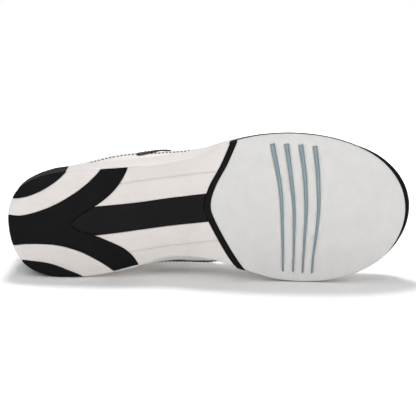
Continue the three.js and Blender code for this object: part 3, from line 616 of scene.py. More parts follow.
def nearest_edge(points):
    """The edge's own coordinate under each plan point, and how far outside the edge the point lies."""
    p = np.asarray(points, float)
    index = np.empty(len(p), int)
    for k in range(0, len(p), 2000):
        apart = p[k : k + 2000, None] - EDGE[None, :-1]
        index[k : k + 2000] = (apart**2).sum(2).argmin(1)
    from_edge = p - EDGE[index]
    along = np.column_stack([-EDGE_OUT[index, 1], EDGE_OUT[index, 0]])
    step = np.clip((from_edge * along).sum(1) / SPACING, -0.6, 0.6)
    u = ((index + step) / (len(EDGE) - 1)) % 1
    return u, (from_edge * EDGE_OUT[index]).sum(1)


def edge_at_u(u):
    """Point and outward direction of the edge at its own coordinate."""
    u = np.asarray(u, float) % 1
    point = np.column_stack([np.interp(u, EDGE_U, EDGE[:, k]) for k in (0, 1)])
    out = np.column_stack([np.interp(u, EDGE_U, EDGE_OUT[:, k]) for k in (0, 1)])
    return point, out


def bottom_z(x, y):
    """Underside height: the waist's flanks rise outside a crease beside the bar."""
    low = np.interp(x, OUTER_HALF[:, 0], OUTER_HALF[:, 1])
    high = np.interp(x, INNER_HALF[:, 0], INNER_HALF[:, 1])
    share = np.abs((2 * y - low - high) / np.maximum(high - low, 1))
    flank = np.clip((share - CREASE_SHARE) / (1 - CREASE_SHARE), 0, 1)
    return ground_z(x) + FLANK_RISE * waist_bump(x) * flank


def station_of(u):
    return np.where(u < 0.5, 2 * u, 2 - 2 * u)


def flare_at(u):
    return np.where(u < 0.5, outer_flare(station_of(u)), inner_flare(station_of(u)))


def wall_top(u):
    """How far out on the flat pattern the rim of the cup lies."""
    point, _ = edge_at_u(u)
    return rim_z(point[:, 0]) - bottom_z(point[:, 0], point[:, 1]) - ROUND_RISE


def sole_skin(points, depth):
    """Pattern points folded up into the sole's skin, sunk by a depth."""
    p = np.asarray(points, float)
    u, s = nearest_edge(p)
    a = np.clip((s + EDGE_ROUND) / EDGE_ROUND, 0, np.pi / 2)
    inset = EDGE_ROUND * (1 - np.sin(a)) + depth * np.sin(a)
    climb = np.maximum(0, s - EDGE_ROUND * (np.pi / 2 - 1))
    rise = EDGE_ROUND * (1 - np.cos(a)) + depth * np.cos(a) + climb
    point, out = edge_at_u(u)
    lean = flare_at(u) * np.clip(climb / wall_top(u), 0, 1)
    wall = point + out * (lean - inset)[:, None]
    xy = np.where((s < -EDGE_ROUND)[:, None], p, wall)
    foot = np.where((s < 0)[:, None], p, point)
    return np.column_stack([xy, bottom_z(foot[:, 0], foot[:, 1]) + rise])


print("wall height at the heel, mm:", wall_top(np.array([0.0]))[0])

# %% [markdown]
# ### The pattern of the bottom
# A black forked piece wraps the heel's back and runs into a straight bar under the waist. Two almond pads
# wrap the heel's sides. The forepart lies in front of a V-shaped strip. A line that runs off the sole's edge
# is carried straight up the wall, as a moulded joint is.

# %% Joint lines
FORK = [
    (-6, -9.5), (12, -9.5), (32, -13.8), (52, -22.8), (66, -32.5), (73.5, -40.5), (74.5, -50),
    (95.5, -50), (93.5, -40), (89, -31.5), (82, -23), (74, -16.5), (65.5, -11.4),
    (52, -4.6), (46.8, 0.6), (52, 5.4), (64, 10.4),
    (74, 15.6), (84, 21.6), (89.5, 27), (93, 33), (97, 44),
    (80, 48), (75.5, 39), (70, 33.8), (60, 26.6), (50, 20.8), (34, 15), (12, 12.2), (-6, 11.5),
]
OUTER_PAD = [(4, -23.6), (14, -23), (24, -25.4), (34, -29.8), (44, -36.5), (53, -47), (24, -54), (-2, -34)]
INNER_PAD = [(6, 24.6), (17, 25.8), (29, 28.8), (40, 34), (53, 42.5), (44, 52), (20, 52), (0, 32)]
BAR = [(65.5, -11.4), (102, -11.6), (160, -14.6), (160, 6.8), (102, 9), (64, 10.4), (44, 10.4), (44, -11.4)]
V_POINT = [
    (174, -58), (162, -35), (152, -19.5), (147.2, -8), (146.8, -1),
    (149.5, 8), (159, 30), (165.5, 42), (172, 52),
]
WALL_STEP = 2.0
STRIP_WIDTH = 5
FOREPART_HIGH = 4.4
SLIDE_HIGH = 2.2


def dense(line, step):
    """The same line with points at most a step apart."""
    p = np.asarray(line, float)
    out = []
    for a, b in zip(p[:-1], p[1:]):
        n = max(1, int(np.ceil(np.linalg.norm(b - a) / step)))
        out.append(a + (b - a) * (np.arange(n) / n)[:, None])
    return np.vstack([*out, p[-1:]])


def carried_up(line):
    """A closed outline whose runs outside the sole's edge go up the wall to the rim instead."""
    p = np.vstack([line, line[:1]])
    u, s = nearest_edge(p)
    inside = s <= 0
    first = int(np.argmax(inside & ~np.roll(inside, 1)))
    order = [(first + k) % (len(p) - 1) for k in range(len(p) - 1)]
    kept = [k for k in order if inside[k]]
    left, back = nearest_edge(p[[kept[-1], kept[0]]])[0]
    way = (back - left + 0.5) % 1 - 0.5
    n = max(2, int(abs(way) * 760 / WALL_STEP))
    along = left + way * np.arange(n + 1) / n
    point, out = edge_at_u(along)
    top = wall_top(along)
    start = point[0] + out[0] * np.arange(0.5, top[0], WALL_STEP)[:, None]
    finish = point[-1] + out[-1] * np.arange(0.5, top[-1], WALL_STEP)[::-1][:, None]
    return np.vstack([p[kept], start, point + out * top[:, None], finish])


def forepart_line(forwards, height):
    """The V behind the forepart, closed round the toe at a height up the wall."""
    rear = centripetal(np.array(V_POINT) + (forwards, 0), 16, closed=False)
    kept = rear[nearest_edge(rear)[1] <= 0]
    low, high = nearest_edge(kept[[0, -1]])[0]
    point, out = edge_at_u(np.linspace(high, low, 191))
    ends = point[[0, -1]] + out[[0, -1]] * 0.5
    return np.vstack([kept, ends[:1], point + out * height, ends[1:]])


FORK_LOOP = carried_up(dense(centripetal(FORK, 8, True), 1.6)[:-1])
OUTER_PAD_LOOP = carried_up(dense(centripetal(OUTER_PAD, 12, True), 1.6)[:-1])
INNER_PAD_LOOP = carried_up(dense(centripetal(INNER_PAD, 12, True), 1.6)[:-1])
BAR_LOOP = dense(BAR + BAR[:1], 1.6)[:-1]
BASE_LOOP = forepart_line(0, FOREPART_HIGH)
SLIDE_LOOP = forepart_line(STRIP_WIDTH, SLIDE_HIGH)
around = np.arange(380) / 380
rim_point, rim_out = edge_at_u(around)
RIM_LOOP = rim_point + rim_out * wall_top(around)[:, None]
for title, loop in (("fork", FORK_LOOP), ("outer pad", OUTER_PAD_LOOP), ("slide", SLIDE_LOOP)):
    reach = [float(loop[:, 0].min().round(1)), float(loop[:, 0].max().round(1))]
    print(title, "outline points:", len(loop), "x from and to:", reach)


# %% [markdown]
# ### Four printed stripes
# Four tapering blue-grey stripes cross the slide sole. They are wide at the outer side and come to a fine
# end at the inner side. They are cut from the same net as the sole, so they are flush inlays with a soft
# edge.

# %% Stripe outlines
STRIPE_LINES = [
    [(201, -47), (204.3, -15), (204.2, 5), (202.5, 35), (201.5, 49.5)],
    [(211.5, -46), (213.2, -15), (213.3, 5), (211.7, 25), (209, 50.5)],
    [(222, -44.5), (223.3, -20), (222.3, 5), (219.7, 25), (216, 52)],
    [(232.4, -42.5), (233.1, -25), (232.7, -10), (231.7, 5), (228.2, 25), (225, 40), (222.8, 53)],
]
STRIPE_WIDE = 3.3
STRIPE_FINE = 1.0


def stripe_loop(line):
    middle = dense(centripetal(line, 10, False), 1.5)
    w = np.linspace(0, 1, len(middle))
    along = np.gradient(middle, axis=0)
    along /= np.linalg.norm(along, axis=1)[:, None]
    side = np.column_stack([along[:, 1], -along[:, 0]]) * (mix(STRIPE_WIDE, STRIPE_FINE, w) / 2)[:, None]
    return np.vstack([middle + side, (middle - side)[::-1]])


STRIPE_LOOPS = [stripe_loop(line) for line in STRIPE_LINES]


# %% [markdown]
# ### One net for all the pieces
# The pattern is filled with points: even rows inside, closer rows where the skin turns up at the edge, and a
# pair of rows beside each joint, where the pieces' edges are rounded. A Delaunay triangulation joins them
# and keeps every joint line as it was drawn.

# %% The net
def in_loop(points, loop):
    """Which points lie inside a closed outline."""
    inside = np.zeros(len(points), bool)
    x, y = points[:, 0], points[:, 1]
    for a, b in zip(loop, np.roll(loop, -1, 0)):
        if a[1] != b[1]:
            crosses = (a[1] > y) != (b[1] > y)
            inside ^= crosses & (x < (b[0] - a[0]) * (y - a[1]) / (b[1] - a[1]) + a[0])
    return inside


def distance_to(points, lines):
    """Distance from each point to the nearest of many segments."""
    a = np.vstack(lines)
    b = np.vstack([np.roll(line, -1, 0) for line in lines])
    best = np.full(len(points), np.inf)
    ab = b - a
    length2 = np.maximum((ab**2).sum(1), 1e-12)
    for k in range(0, len(points), 1500):
        p = points[k : k + 1500, None, :]
        w = np.clip(((p - a) * ab).sum(2) / length2, 0, 1)
        best[k : k + 1500] = np.sqrt(((p - a - ab * w[..., None]) ** 2).sum(2)).min(1)
    return best


def beside(loop, by):
    along = np.roll(loop, -1, 0) - np.roll(loop, 1, 0)
    along /= np.maximum(np.linalg.norm(along, axis=1), 1e-9)[:, None]
    return loop + np.column_stack([along[:, 1], -along[:, 0]]) * by


JOINTS = [FORK_LOOP, OUTER_PAD_LOOP, INNER_PAD_LOOP, BAR_LOOP, BASE_LOOP, SLIDE_LOOP]
LINES = [*JOINTS, RIM_LOOP, *STRIPE_LOOPS]
GRID = 2.6
GROOVE_WIDE = 0.55

grid_x, grid_y = np.meshgrid(np.arange(-2, 302, GRID), np.arange(-58, 64, GRID), indexing="ij")
grid_y = grid_y + (np.arange(grid_x.shape[0]) % 2)[:, None] * GRID / 2
inner = np.column_stack([grid_x.ravel(), grid_y.ravel()])
inner = inner[nearest_edge(inner)[1] < -3.6]
rows = [inner]
edge_u = np.arange(300) / 300
edge_xy, edge_out = edge_at_u(edge_u)
for s in (-2.6, -1.2, -0.75, -0.35, 0.05, 0.4, 0.69, 2.4, 5.0, 7.6, 10.2, 13, 16, 19, 22, 25):
    fits = s < wall_top(edge_u) - 1.2
    rows.append((edge_xy + edge_out * s)[fits])
CREASE_ENDS = ([(84, -26.9), (158, -30.2)], [(86, 25.3), (160, 21.6)])
CREASES = [dense(line, 1.5) for line in CREASE_ENDS]
CREASE_LOOPS = [np.vstack([line, line[::-1]]) for line in CREASES]
CREASE_HALF = 0.4
CREASE_DEEP = 0.9
for line in CREASES:
    for off in (-1.5, -CREASE_HALF, 0, CREASE_HALF, 1.5):
        rows.append(line + (0, off))
filler = np.vstack(rows)
filler = filler[distance_to(filler, LINES) > 0.95]
off_crease = distance_to(filler, CREASE_LOOPS)
on_bank = np.abs(off_crease - CREASE_HALF) < 0.02
filler = filler[(off_crease < 0.02) | on_bank | (off_crease > 1.2)]
rounded = [*JOINTS, RIM_LOOP]
near = np.vstack([beside(loop, side * GROOVE_WIDE) for loop in rounded for side in (-1, 1)])
near = near[distance_to(near, LINES) > GROOVE_WIDE * 0.8]

points = [*filler.tolist(), *near.tolist()]
edges = []
for line in LINES:
    n = len(points)
    points += line.tolist()
    edges += [(n + k, n + (k + 1) % len(line)) for k in range(len(line))]
net = delaunay_2d_cdt([Vector(p) for p in points], edges, [], 0, 0.02, False)
NET_POINTS = np.array([tuple(p) for p in net[0]])
NET_FACES = np.array([f for f in net[2] if len(f) == 3])
print("net:", len(NET_POINTS), "points,", len(NET_FACES), "triangles")

# %% [markdown]
# ### Sorting the triangles
# Each triangle is given to a piece by where its middle lies. The order matters: the forepart lies over the
# bar's end, and whatever no inlay claims is the white cup.

# %% Pieces of the net
centres = NET_POINTS[NET_FACES].mean(1)
in_rim = in_loop(centres, RIM_LOOP)
in_base = in_loop(centres, BASE_LOOP)
in_slide = in_loop(centres, SLIDE_LOOP)
owner = np.full(len(NET_FACES), "outside", dtype="U20")
owner[in_rim] = "outsole_cup"
for title, loop in (
    ("waist_bar", BAR_LOOP),
    ("heel_fork", FORK_LOOP),
    ("heel_pad_outer", OUTER_PAD_LOOP),
    ("heel_pad_inner", INNER_PAD_LOOP),
):
    owner[in_rim & in_loop(centres, loop)] = title
owner[in_base] = "slide_base"
owner[in_base & in_slide] = "slide_sole"
for loop in STRIPE_LOOPS:
    owner[in_slide & in_loop(centres, loop)] = "slide_stripes"
for title in sorted(set(owner)):
    print(title, "triangles:", int((owner == title).sum()))

# %% [markdown]
# ### Thickness of the cup
# The cup's wall stands against the leather, so its thickness is the room between its own outside and the
# last with the upper on it. At the heel and the toe the upper has an overlay, and the wall is thinner there.

# %% Room beside the upper
def wall_room(u):
    t = station_of(u)
    short_of_ends = np.clip(t, 0.004, 0.985)
    point, out = edge_at_u(u)
    phi = angle_at_height(short_of_ends, rim_z, UPPER[1] + FIT)
    phi = np.where(u < 0.5, phi, np.pi - phi)
    skin = last_point(short_of_ends, phi, UPPER[1] + FIT)
    reach = ((skin[:, :2] - point) * out).sum(1)
    overlay = 1.5 * np.maximum(1 - smooth(0.2, 0.27, t), smooth(0.8, 0.86, t))
    return np.clip(flare_at(u) - reach - overlay - 0.15, 0.8, 3.2)


ROOM_U = np.linspace(0, 1, 241)
ROOM = wall_room(ROOM_U)
print("cup wall, mm: thinnest", ROOM.min().round(2), "thickest", ROOM.max().round(2))


# %% [markdown]
# ### Rubber pieces as closed solids
# A piece's front is its own triangles, folded up by the skin rule. Points near a joint sink a little, so the
# edge is rounded and each joint reads as a fine dark groove. The back is the same net set deeper, and a wall
# joins them.

# %% Sole pieces
JOINT_DEPTH = 0.5
JOINT_GAP = 0.12
EDGE_PROUD = 0.7


def sole_piece(title, material, thickness, sink=0.0, soft=JOINT_DEPTH):
    faces = NET_FACES[owner == title]
    used, faces = np.unique(faces, return_inverse=True)
    faces = faces.reshape(-1, 3)
    p = NET_POINTS[used].copy()
    sides = np.vstack([faces[:, [0, 1]], faces[:, [1, 2]], faces[:, [2, 0]]])
    pairs = set(map(tuple, sides))
    rim = np.array([e for e in pairs if (e[1], e[0]) not in pairs])
    on_rim = np.zeros(len(p), bool)
    on_rim[rim.ravel()] = True
    middle = p[faces].mean(1)
    pull = np.zeros_like(p)
    for k in range(3):
        np.add.at(pull, faces[:, k], middle - p[faces[:, k]])
    pull /= np.maximum(np.linalg.norm(pull, axis=1), 1e-9)[:, None]
    p[on_rim] += pull[on_rim] * JOINT_GAP
    u, s = nearest_edge(p)
    crease = CREASE_DEEP * np.maximum(0, 1 - distance_to(p, CREASE_LOOPS) / CREASE_HALF)
    proud = EDGE_PROUD * (s > SLIDE_HIGH - 0.7) * (title == "slide_base") * ~on_rim
    front = sink - proud + soft * on_rim + crease
    back = np.full(len(p), float(thickness)) if not callable(thickness) else thickness(u, s)
    count = len(p)
    body = np.vstack([sole_skin(p, front), sole_skin(p, back)])
    walls = [(b, a, a + count, b + count) for a, b in rim]
    all_faces = [*faces.tolist(), *(faces[:, ::-1] + count).tolist(), *walls]
    return tidy_mesh(new_piece(title + "_skin", body, all_faces, material))


def cup_thickness(u, s):
    return np.where(s > 2.0, np.interp(u, ROOM_U, ROOM), 2.2)


SOLE_WORK = [
    ("outsole_cup", WHITE_RUBBER, cup_thickness, 0.0, 0.35),
    ("heel_fork", BLACK_RUBBER, 1.6, 0.0, JOINT_DEPTH),
    ("heel_pad_outer", BLACK_RUBBER, 1.6, 0.0, JOINT_DEPTH),
    ("heel_pad_inner", BLACK_RUBBER, 1.6, 0.0, JOINT_DEPTH),
    ("waist_bar", BAR_RUBBER_PAINTED_HIGHLIGHT, 2.2, 0.15, JOINT_DEPTH),
    ("slide_base", BLACK_RUBBER, 2.0, 0.0, JOINT_DEPTH),
    ("slide_sole", SLIDE_SUEDE, 2.0, 0.0, 0.3),
]
soles = {}
for title, material, thickness, sink, soft in SOLE_WORK:
    piece = sole_piece(title, material, thickness, sink, soft)
    soles[title] = piece
    size = [round(v / MM, 1) for v in piece.dimensions]
    print(title, "triangles:", len(piece.data.polygons), "size mm:", size)

stripes_inked = sole_piece("slide_stripes", STRIPE_INK, 0.6, 0.0, 0.06)
stripes_inked.name = "slide_stripes"

# %% [markdown]
# ## Panels of the upper
# A panel is a patch of the last, given by a rule from a unit square to a station and an angle. The same rule
# gives its face and its back, at the two distances of its layer, and a small bevel turns its cut edges.

# %% Panel rules
THROAT_FRONT = 190
THROAT_TOP = 104
THROAT_HALF = (14, 18)
FACING_WIDTH = 16
line_at = np.linspace(0, 1, 901)
TOP_X = along_shoe([-10, 0, 15, 35, 55, 80, 105, 122, 140])(line_at)
TOP_Z = along_shoe([84, 83, 80, 71, 66, 76, 98, 116, 130])(line_at)


def top_line(x):
    return np.interp(x, TOP_X, TOP_Z)


def throat_half(x):
    return mix(*THROAT_HALF, (THROAT_FRONT - x) / (THROAT_FRONT - THROAT_TOP))


T_TABLE = np.linspace(0, 1, 801)
x_table = middle_x(T_TABLE)
round_ankle = angle_at_height(T_TABLE, top_line, UPPER[0])
beside_throat = angle_at_distance(T_TABLE, throat_half(x_table))
OPENING = np.where(x_table < THROAT_TOP - 14, round_ankle, np.minimum(round_ankle, beside_throat))


def opening(t):
    return np.interp(t, T_TABLE, OPENING)


def seam_t(share):
    return station(mix(166, THROAT_FRONT, smooth(0, 1, share)))


def unit_grid(nu, nv):
    return np.meshgrid(np.linspace(0, 1, nu + 1), np.linspace(0, 1, nv + 1), indexing="ij")


def panel(name, place, layer, nu, nv, material, bevel=0.35):
    t, phi = place(*unit_grid(nu, nv))
    return shell(name, last_point(t, phi, layer[1]), last_point(t, phi, layer[0]), material, bevel)


def side_rule(side, start, end, low, high):
    """A rule for a panel on one side, between two stations and two angles."""

    def place(u, v):
        t = mix(start(v), end(v), u)
        return t, on_side(side, mix(low(t), high(t), v))

    return place


def wrap_rule(reach, low, high):
    """A rule for a band that wraps the heel from one side to the other."""

    def place(u, v):
        w = 2 * u - 1
        t = np.abs(w) * reach(v)
        phi = mix(low(t), high(t), v)
        return t, np.where(w < 0, phi, np.pi - phi)

    return place


def front_rule(start):
    """A rule for a panel over the forepart, from one feather edge to the other."""

    def place(u, v):
        phi = np.pi * v
        t = mix(start(np.minimum(phi, np.pi - phi)), 0.995, 1 - (1 - u) ** 1.3)
        return t, phi

    return place


SIDES = ((OUTER, "outer"), (INNER, "inner"))
throat_angle = float(angle_at_distance(station(THROAT_FRONT), throat_half(THROAT_FRONT)))
vamp_rule = front_rule(lambda phi: seam_t(np.minimum(1, phi / throat_angle)) + 0.002)
cap_rule = front_rule(lambda phi: mix(station(243), station(264), smooth(0, 1, np.sin(phi))))


def quarter_rule(side, low, high):
    """A rule for a panel from the heel's back seam to the vamp."""
    return side_rule(side, lambda v: 0.004 + 0 * v, lambda v: seam_t(v) - 0.002, low, high)


quarter_rules = {side: quarter_rule(side, lambda t: 0 * t, opening) for side, _ in SIDES}
pieces = {}
pieces["vamp"] = panel("vamp", vamp_rule, UPPER, 60, 110, WHITE_LEATHER)
pieces["toe_cap"] = panel("toe_cap", cap_rule, OVERLAY, 44, 100, WHITE_LEATHER)
for side, word in SIDES:
    title = "quarter_" + word
    pieces[title] = panel(title, quarter_rules[side], UPPER, 150, 44, WHITE_LEATHER)
print("throat angle, degrees:", round(math.degrees(throat_angle), 1))

# %% [markdown]
# ## Facings, heel overlay and side stripes
# The facings stiffen the edges that the lace pulls on. The heel overlay and the stripes are black, cut from
# thinner leather and stitched on top.

# %% Overlays
HEEL_REACH = (62, 30)
STRIPE_FOOT = {OUTER: (99, 43), INNER: (98, 33)}
STRIPE_HEAD = {OUTER: (128, 63), INNER: (160, 37)}
SIDE_STRIPE_WIDTH = {OUTER: 8, INNER: 9}


def facing_rule(side):
    return side_rule(
        side,
        lambda v: station(THROAT_TOP - 6) + 0 * v,
        lambda v: station(THROAT_FRONT - 1.5) + 0 * v,
        lambda t: angle_at_distance(t, throat_half(middle_x(t)) + FACING_WIDTH),
        lambda t: opening(t) - 0.01,
    )


def stripe_rule(side):
    def place(u, v):
        foot, head = STRIPE_FOOT[side], STRIPE_HEAD[side]
        x = mix(foot[0], head[0], u)
        taper = (0.25 + 0.75 * (1 - u)) * np.minimum(1, 0.3 + u * 6)
        half_width = SIDE_STRIPE_WIDTH[side] / 2 * taper
        z = mix(foot[1], head[1], u**1.4) + (v - 0.5) * 2 * half_width
        t = station(x)
        return t, on_side(side, angle_at_height(t, lambda q: z, UPPER[1]))

    return place


heel_rule = wrap_rule(
    lambda v: station(mix(*HEEL_REACH, smooth(0, 1, v))),
    lambda t: angle_at_height(t, lambda x: rim_z(x) - 2, OVERLAY[0]),
    lambda t: angle_at_height(t, lambda x: top_line(x) - 1.5, OVERLAY[0]),
)
pieces["heel_overlay"] = panel("heel_overlay", heel_rule, OVERLAY, 120, 30, BLACK_LEATHER)
for side, word in SIDES:
    title = "facing_" + word
    pieces[title] = panel(title, facing_rule(side), OVERLAY, 90, 16, WHITE_LEATHER)
    title = "side_stripe_" + word
    pieces[title] = panel(title, stripe_rule(side), OVERLAY, 50, 8, BLACK_LEATHER, 0.25)
print("panels so far:", len(pieces))

# %% [markdown]
# ## Toe bumper
# A black rubber band stands proud of the cup round the toe. It is thickest at the tip and dies away at each
# end, and a shallow step runs along it.

# %% Toe bumper
BUMPER_THICK = 4
BUMPER_LOW = 4.9
bumper_reach = 1 - float(station(268))


def bumper_surface(outside):
    u, v = unit_grid(130, 16)
    w = 2 * u - 1
    outer_half = w < 0
    t = 1 - np.abs(w) * bumper_reach
    swell = BUMPER_THICK * (0.2 + 0.8 * (1 - np.abs(w) ** 1.6))
    step = 1 - 0.16 * smooth(0.56, 0.6, v) * (1 - smooth(0.94, 0.98, v))
    across = swell * (0.75 + 0.25 * np.sin(np.pi * v)) * step * (1 - 0.3 * (2 * v - 1) ** 8)
    flare = np.where(outer_half, outer_flare(t), inner_flare(t))
    out = flare + FIT + (across if outside else -0.1)
    x, y = np.where(outer_half, edge_point(t, OUTER, out), edge_point(t, INNER, out))
    back_x = np.where(outer_half, edge_point(t, OUTER)[0], edge_point(t, INNER)[0])
    z = mix(ground_z(back_x) + BUMPER_LOW, rim_z(back_x), v)
    return np.stack([x, y, z], axis=-1)


pieces["toe_bumper"] = shell("toe_bumper", bumper_surface(True), bumper_surface(False), BLACK_RUBBER, 0.5, 3)

# %% [markdown]
# ## Linings, sock and collar
# Inside, black knit covers everything the foot touches. The collar is a padded roll round the ankle: fullest
# at its middle, drawn in where it is sewn, and a little proud of the top line.

# %% Linings and sock
PAD_THICK = 7.7
PAD_DEEP = 21
PAD_FRONT = 98
SOCK_LOW = 2.6
SOCK_THICK = 4


def lining_top(t):
    under_pad = angle_at_height(t, lambda x: top_line(x) - PAD_DEEP - 0.6)
    front = smooth(0, 0.02, t - station(PAD_FRONT + 2))
    return mix(np.minimum(under_pad, opening(t)), opening(t) - 0.01, front)


def lining_foot(t):
    return angle_at_height(t, lambda x: bed_z(x) + SOCK_LOW + 0.1)


for side, word in SIDES:
    rule = quarter_rule(side, lining_foot, lining_top)
    title = "quarter_lining_" + word
    pieces[title] = panel(title, rule, LINING, 110, 24, BLACK_KNIT, 0)


def vamp_lining_rule(u, v):
    t, _ = vamp_rule(u * 0.985, v)
    low = lining_foot(t)
    return t, mix(low, np.pi - low, v)


pieces["vamp_lining"] = panel("vamp_lining", vamp_lining_rule, LINING, 50, 80, BLACK_KNIT, 0)


def bed_surface(rise, dish):
    u, v = unit_grid(90, 18)
    t = np.clip(0.5 - 0.5 * np.cos(np.pi * u), 0.012, 0.985)
    phi = angle_at_height(t, lambda x: bed_z(x) + SOCK_LOW + 0.2, -0.9)
    a = last_point(t, phi, -0.9)
    b = last_point(t, np.pi - phi, -0.9)
    p = a + (b - a) * v[..., None]
    p[..., 2] = bed_z(p[..., 0]) + rise + dish * (np.abs(2 * v - 1) ** 3 - 0.6)
    return p


sock_top = bed_surface(SOCK_LOW + SOCK_THICK - 0.6, 0.9)
pieces["sock_liner"] = shell("sock_liner", sock_top, bed_surface(SOCK_LOW, 0.0), BLACK_KNIT, 0.6)

# %% [markdown]
# ### Collar roll
# The roll is a tube bent round the ankle. Its section is flat against the quarter and full towards the foot,
# and it sinks a little along the two rows where it is quilted. A tube swept by rule keeps its place on the
# last.

# %% Collar
COLLAR_GRID = (150, 28)


def collar_surface():
    u, v = unit_grid(*COLLAR_GRID)
    w = 2 * u - 1
    t = np.abs(w) * float(station(PAD_FRONT))
    low = angle_at_height(t, lambda x: top_line(x) - PAD_DEEP)
    high = opening(t) + 0.012
    turn = 2 * np.pi * v
    fade = 1 - np.abs(w) ** 10
    share = 0.5 - 0.5 * np.cos(turn)
    inward = np.sin(turn) > 0
    quilt = 1 - 0.1 * np.cos(np.pi * 3 * share) ** 8 * (np.abs(w) < 0.97)
    depth = np.where(inward, PAD_THICK * np.sin(turn) ** 0.55 * quilt * fade, 0.0)
    outer_side = UPPER[0] - FIT - 0.5 * (1 - fade)
    phi = mix(low, high, share)
    return last_point(t, np.where(w < 0, phi, np.pi - phi), outer_side - depth)


def tube_faces(rings, sides):
    """Faces of a tube of so many rings, closed at both ends."""
    faces = []
    for i in range(rings - 1):
        for j in range(sides):
            a, b = i * sides + j, i * sides + (j + 1) % sides
            faces.append((a, b, b + sides, a + sides))
    last = (rings - 1) * sides
    return [*faces, tuple(range(sides))[::-1], tuple(last + j for j in range(sides))]


around, sides = COLLAR_GRID
faces = tube_faces(around + 1, sides)
points = collar_surface()[:, :-1].reshape(-1, 3)
pieces["collar_pad"] = tidy_mesh(new_piece("collar_pad_skin", points, faces, BLACK_KNIT), 0.002)
print("collar triangles:", 2 * len(faces))

# %% [markdown]
# ## Tongue and its label
# The tongue is a long pad under the lacing. It is thick along its middle, thin at its edges, and two sewn
# channels run across near its top. A plain black label without lettering is stitched on.

# %% Tongue
TONGUE_BACK = 80
TONGUE_LAYER = (-10.0, -3.6)
TONGUE_HEM = 1.8
LABEL_HALF = 13


def tongue_half(x):
    return mix(32, 24, smooth(110, THROAT_FRONT, x)) * mix(0.62, 1, smooth(TONGUE_BACK, 112, x))


def strip_surface(x0, x1, half_width, depth, nu, nv):
    u, v = unit_grid(nu, nv)
    x = mix(x0, x1, u)
    t = station(x)
    w = 2 * v - 1
    phi = angle_at_distance(t, np.abs(w) * half_width(x) + 1e-4)
    return last_point(t, np.where(w < 0, phi, np.pi - phi), depth(u, w, x))


def tongue_top(u, w, x):
    edge = 1.1 * np.abs(w) ** 6 + 1.6 * smooth(0.96, 1.0, u) ** 2
    channels = sum(0.9 * np.exp(-(((x - row) / 1.3) ** 2)) for row in (106, 97))
    return TONGUE_LAYER[1] - edge - channels * (np.abs(w) < 0.9) * (x < 112)


def tongue_under(u, w, x):
    across = np.clip(1 - np.abs(w) ** 3, 0, 1) ** 0.6
    full = across * np.clip((1 - u) * 14, 0, 1) ** 0.5 * np.clip(u * 8 + 0.2, 0, 1)
    return TONGUE_LAYER[1] - TONGUE_HEM - (TONGUE_LAYER[1] - TONGUE_LAYER[0] - TONGUE_HEM) * full


def label_surface(d):
    return strip_surface(99, 84, lambda x: LABEL_HALF + 0 * x, lambda u, w, x: d + 0 * u, 24, 30)


tongue_sides = [
    strip_surface(THROAT_FRONT + 4, TONGUE_BACK, tongue_half, depth, 120, 40)
    for depth in (tongue_top, tongue_under)
]
pieces["tongue"] = shell("tongue", *tongue_sides, WHITE_LEATHER, 0.6, 3)
pieces["tongue_label"] = shell("tongue_label", label_surface(-2.5), label_surface(-3.4), BLACK_LEATHER, 0.3)

# %% [markdown]
# ## Eyelets
# Twelve metal rings line the lace holes. Each is a turned-over flange on a short barrel. One ring is swept
# in Geometry Nodes and set on every point of a small mesh, which also carries the direction that each ring
# faces.

# %% Places of the eyelets
EYELETS = 6
EYELET_BORE = 2.1
FACING_MARGIN = 7
LACE_RADIUS = 1.3
FLANGE_RISE = 0.8
BARREL = 3.1


def eyelet_x(k):
    return mix(THROAT_FRONT - 11, THROAT_TOP + 5, k / (EYELETS - 1))


def eyelet_spot(side, k):
    x = eyelet_x(k)
    t = float(station(x))
    phi = on_side(side, float(angle_at_distance(t, throat_half(x) + FACING_MARGIN)))
    step = 0.004
    top = OVERLAY[1]
    along = last_point(t + step, phi, top) - last_point(t - step, phi, top)
    across = last_point(t, phi + step, top) - last_point(t, phi - step, top)
    axis = np.cross(across, along)
    axis = axis / np.linalg.norm(axis) * (1 if axis[2] > 0 else -1)
    return last_point(t, phi, top), axis


SPOTS = {side: [eyelet_spot(side, k) for k in range(EYELETS)] for side, _ in SIDES}

# %% [markdown]
# ### Growing pieces with nodes
# What repeats is grown by a node tree on a few marked points or lines. Its sizes are named inputs, so one
# tree serves every use. Instances are made real and get their material last, and the result is kept as plain
# mesh.

# %% Geometry Nodes helpers
def new_tree(name, floats, materials):
    """A node tree with a geometry input, named sizes and materials, and a geometry output."""
    tree = bpy.data.node_groups.new(name, "GeometryNodeTree")
    tree.interface.new_socket("Geometry", in_out="INPUT", socket_type="NodeSocketGeometry")
    for titles, kind in ((floats, "NodeSocketFloat"), (materials, "NodeSocketMaterial")):
        for title in titles:
            tree.interface.new_socket(title, in_out="INPUT", socket_type=kind)
    tree.interface.new_socket("Geometry", in_out="OUTPUT", socket_type="NodeSocketGeometry")
    return tree, tree.nodes.new("NodeGroupInput").outputs, tree.nodes.new("NodeGroupOutput").inputs


def finish_tree(tree, geometry, material, out):
    real = put(tree, "GeometryNodeRealizeInstances", {"Geometry": geometry})
    smooth_faces = put(tree, "GeometryNodeSetShadeSmooth", {"Geometry": real.outputs[0]})
    dressed = {"Geometry": smooth_faces.outputs[0], "Material": material}
    tree.links.new(put(tree, "GeometryNodeSetMaterial", dressed).outputs[0], out[0])


def grown_by(tree, source, name, values):
    """Runs a tree on an object and keeps the result as a plain mesh."""
    modifier = source.modifiers.new("grow", "NODES")
    modifier.node_group = tree
    for item in tree.interface.items_tree:
        if item.item_type == "SOCKET" and item.in_out == "INPUT" and item.name in values:
            modifier[item.identifier] = values[item.name]
    graph = bpy.context.evaluated_depsgraph_get()
    mesh = bpy.data.meshes.new_from_object(source.evaluated_get(graph))
    mesh.name = name
    bpy.data.objects.remove(source)
    return in_scene(name, mesh)


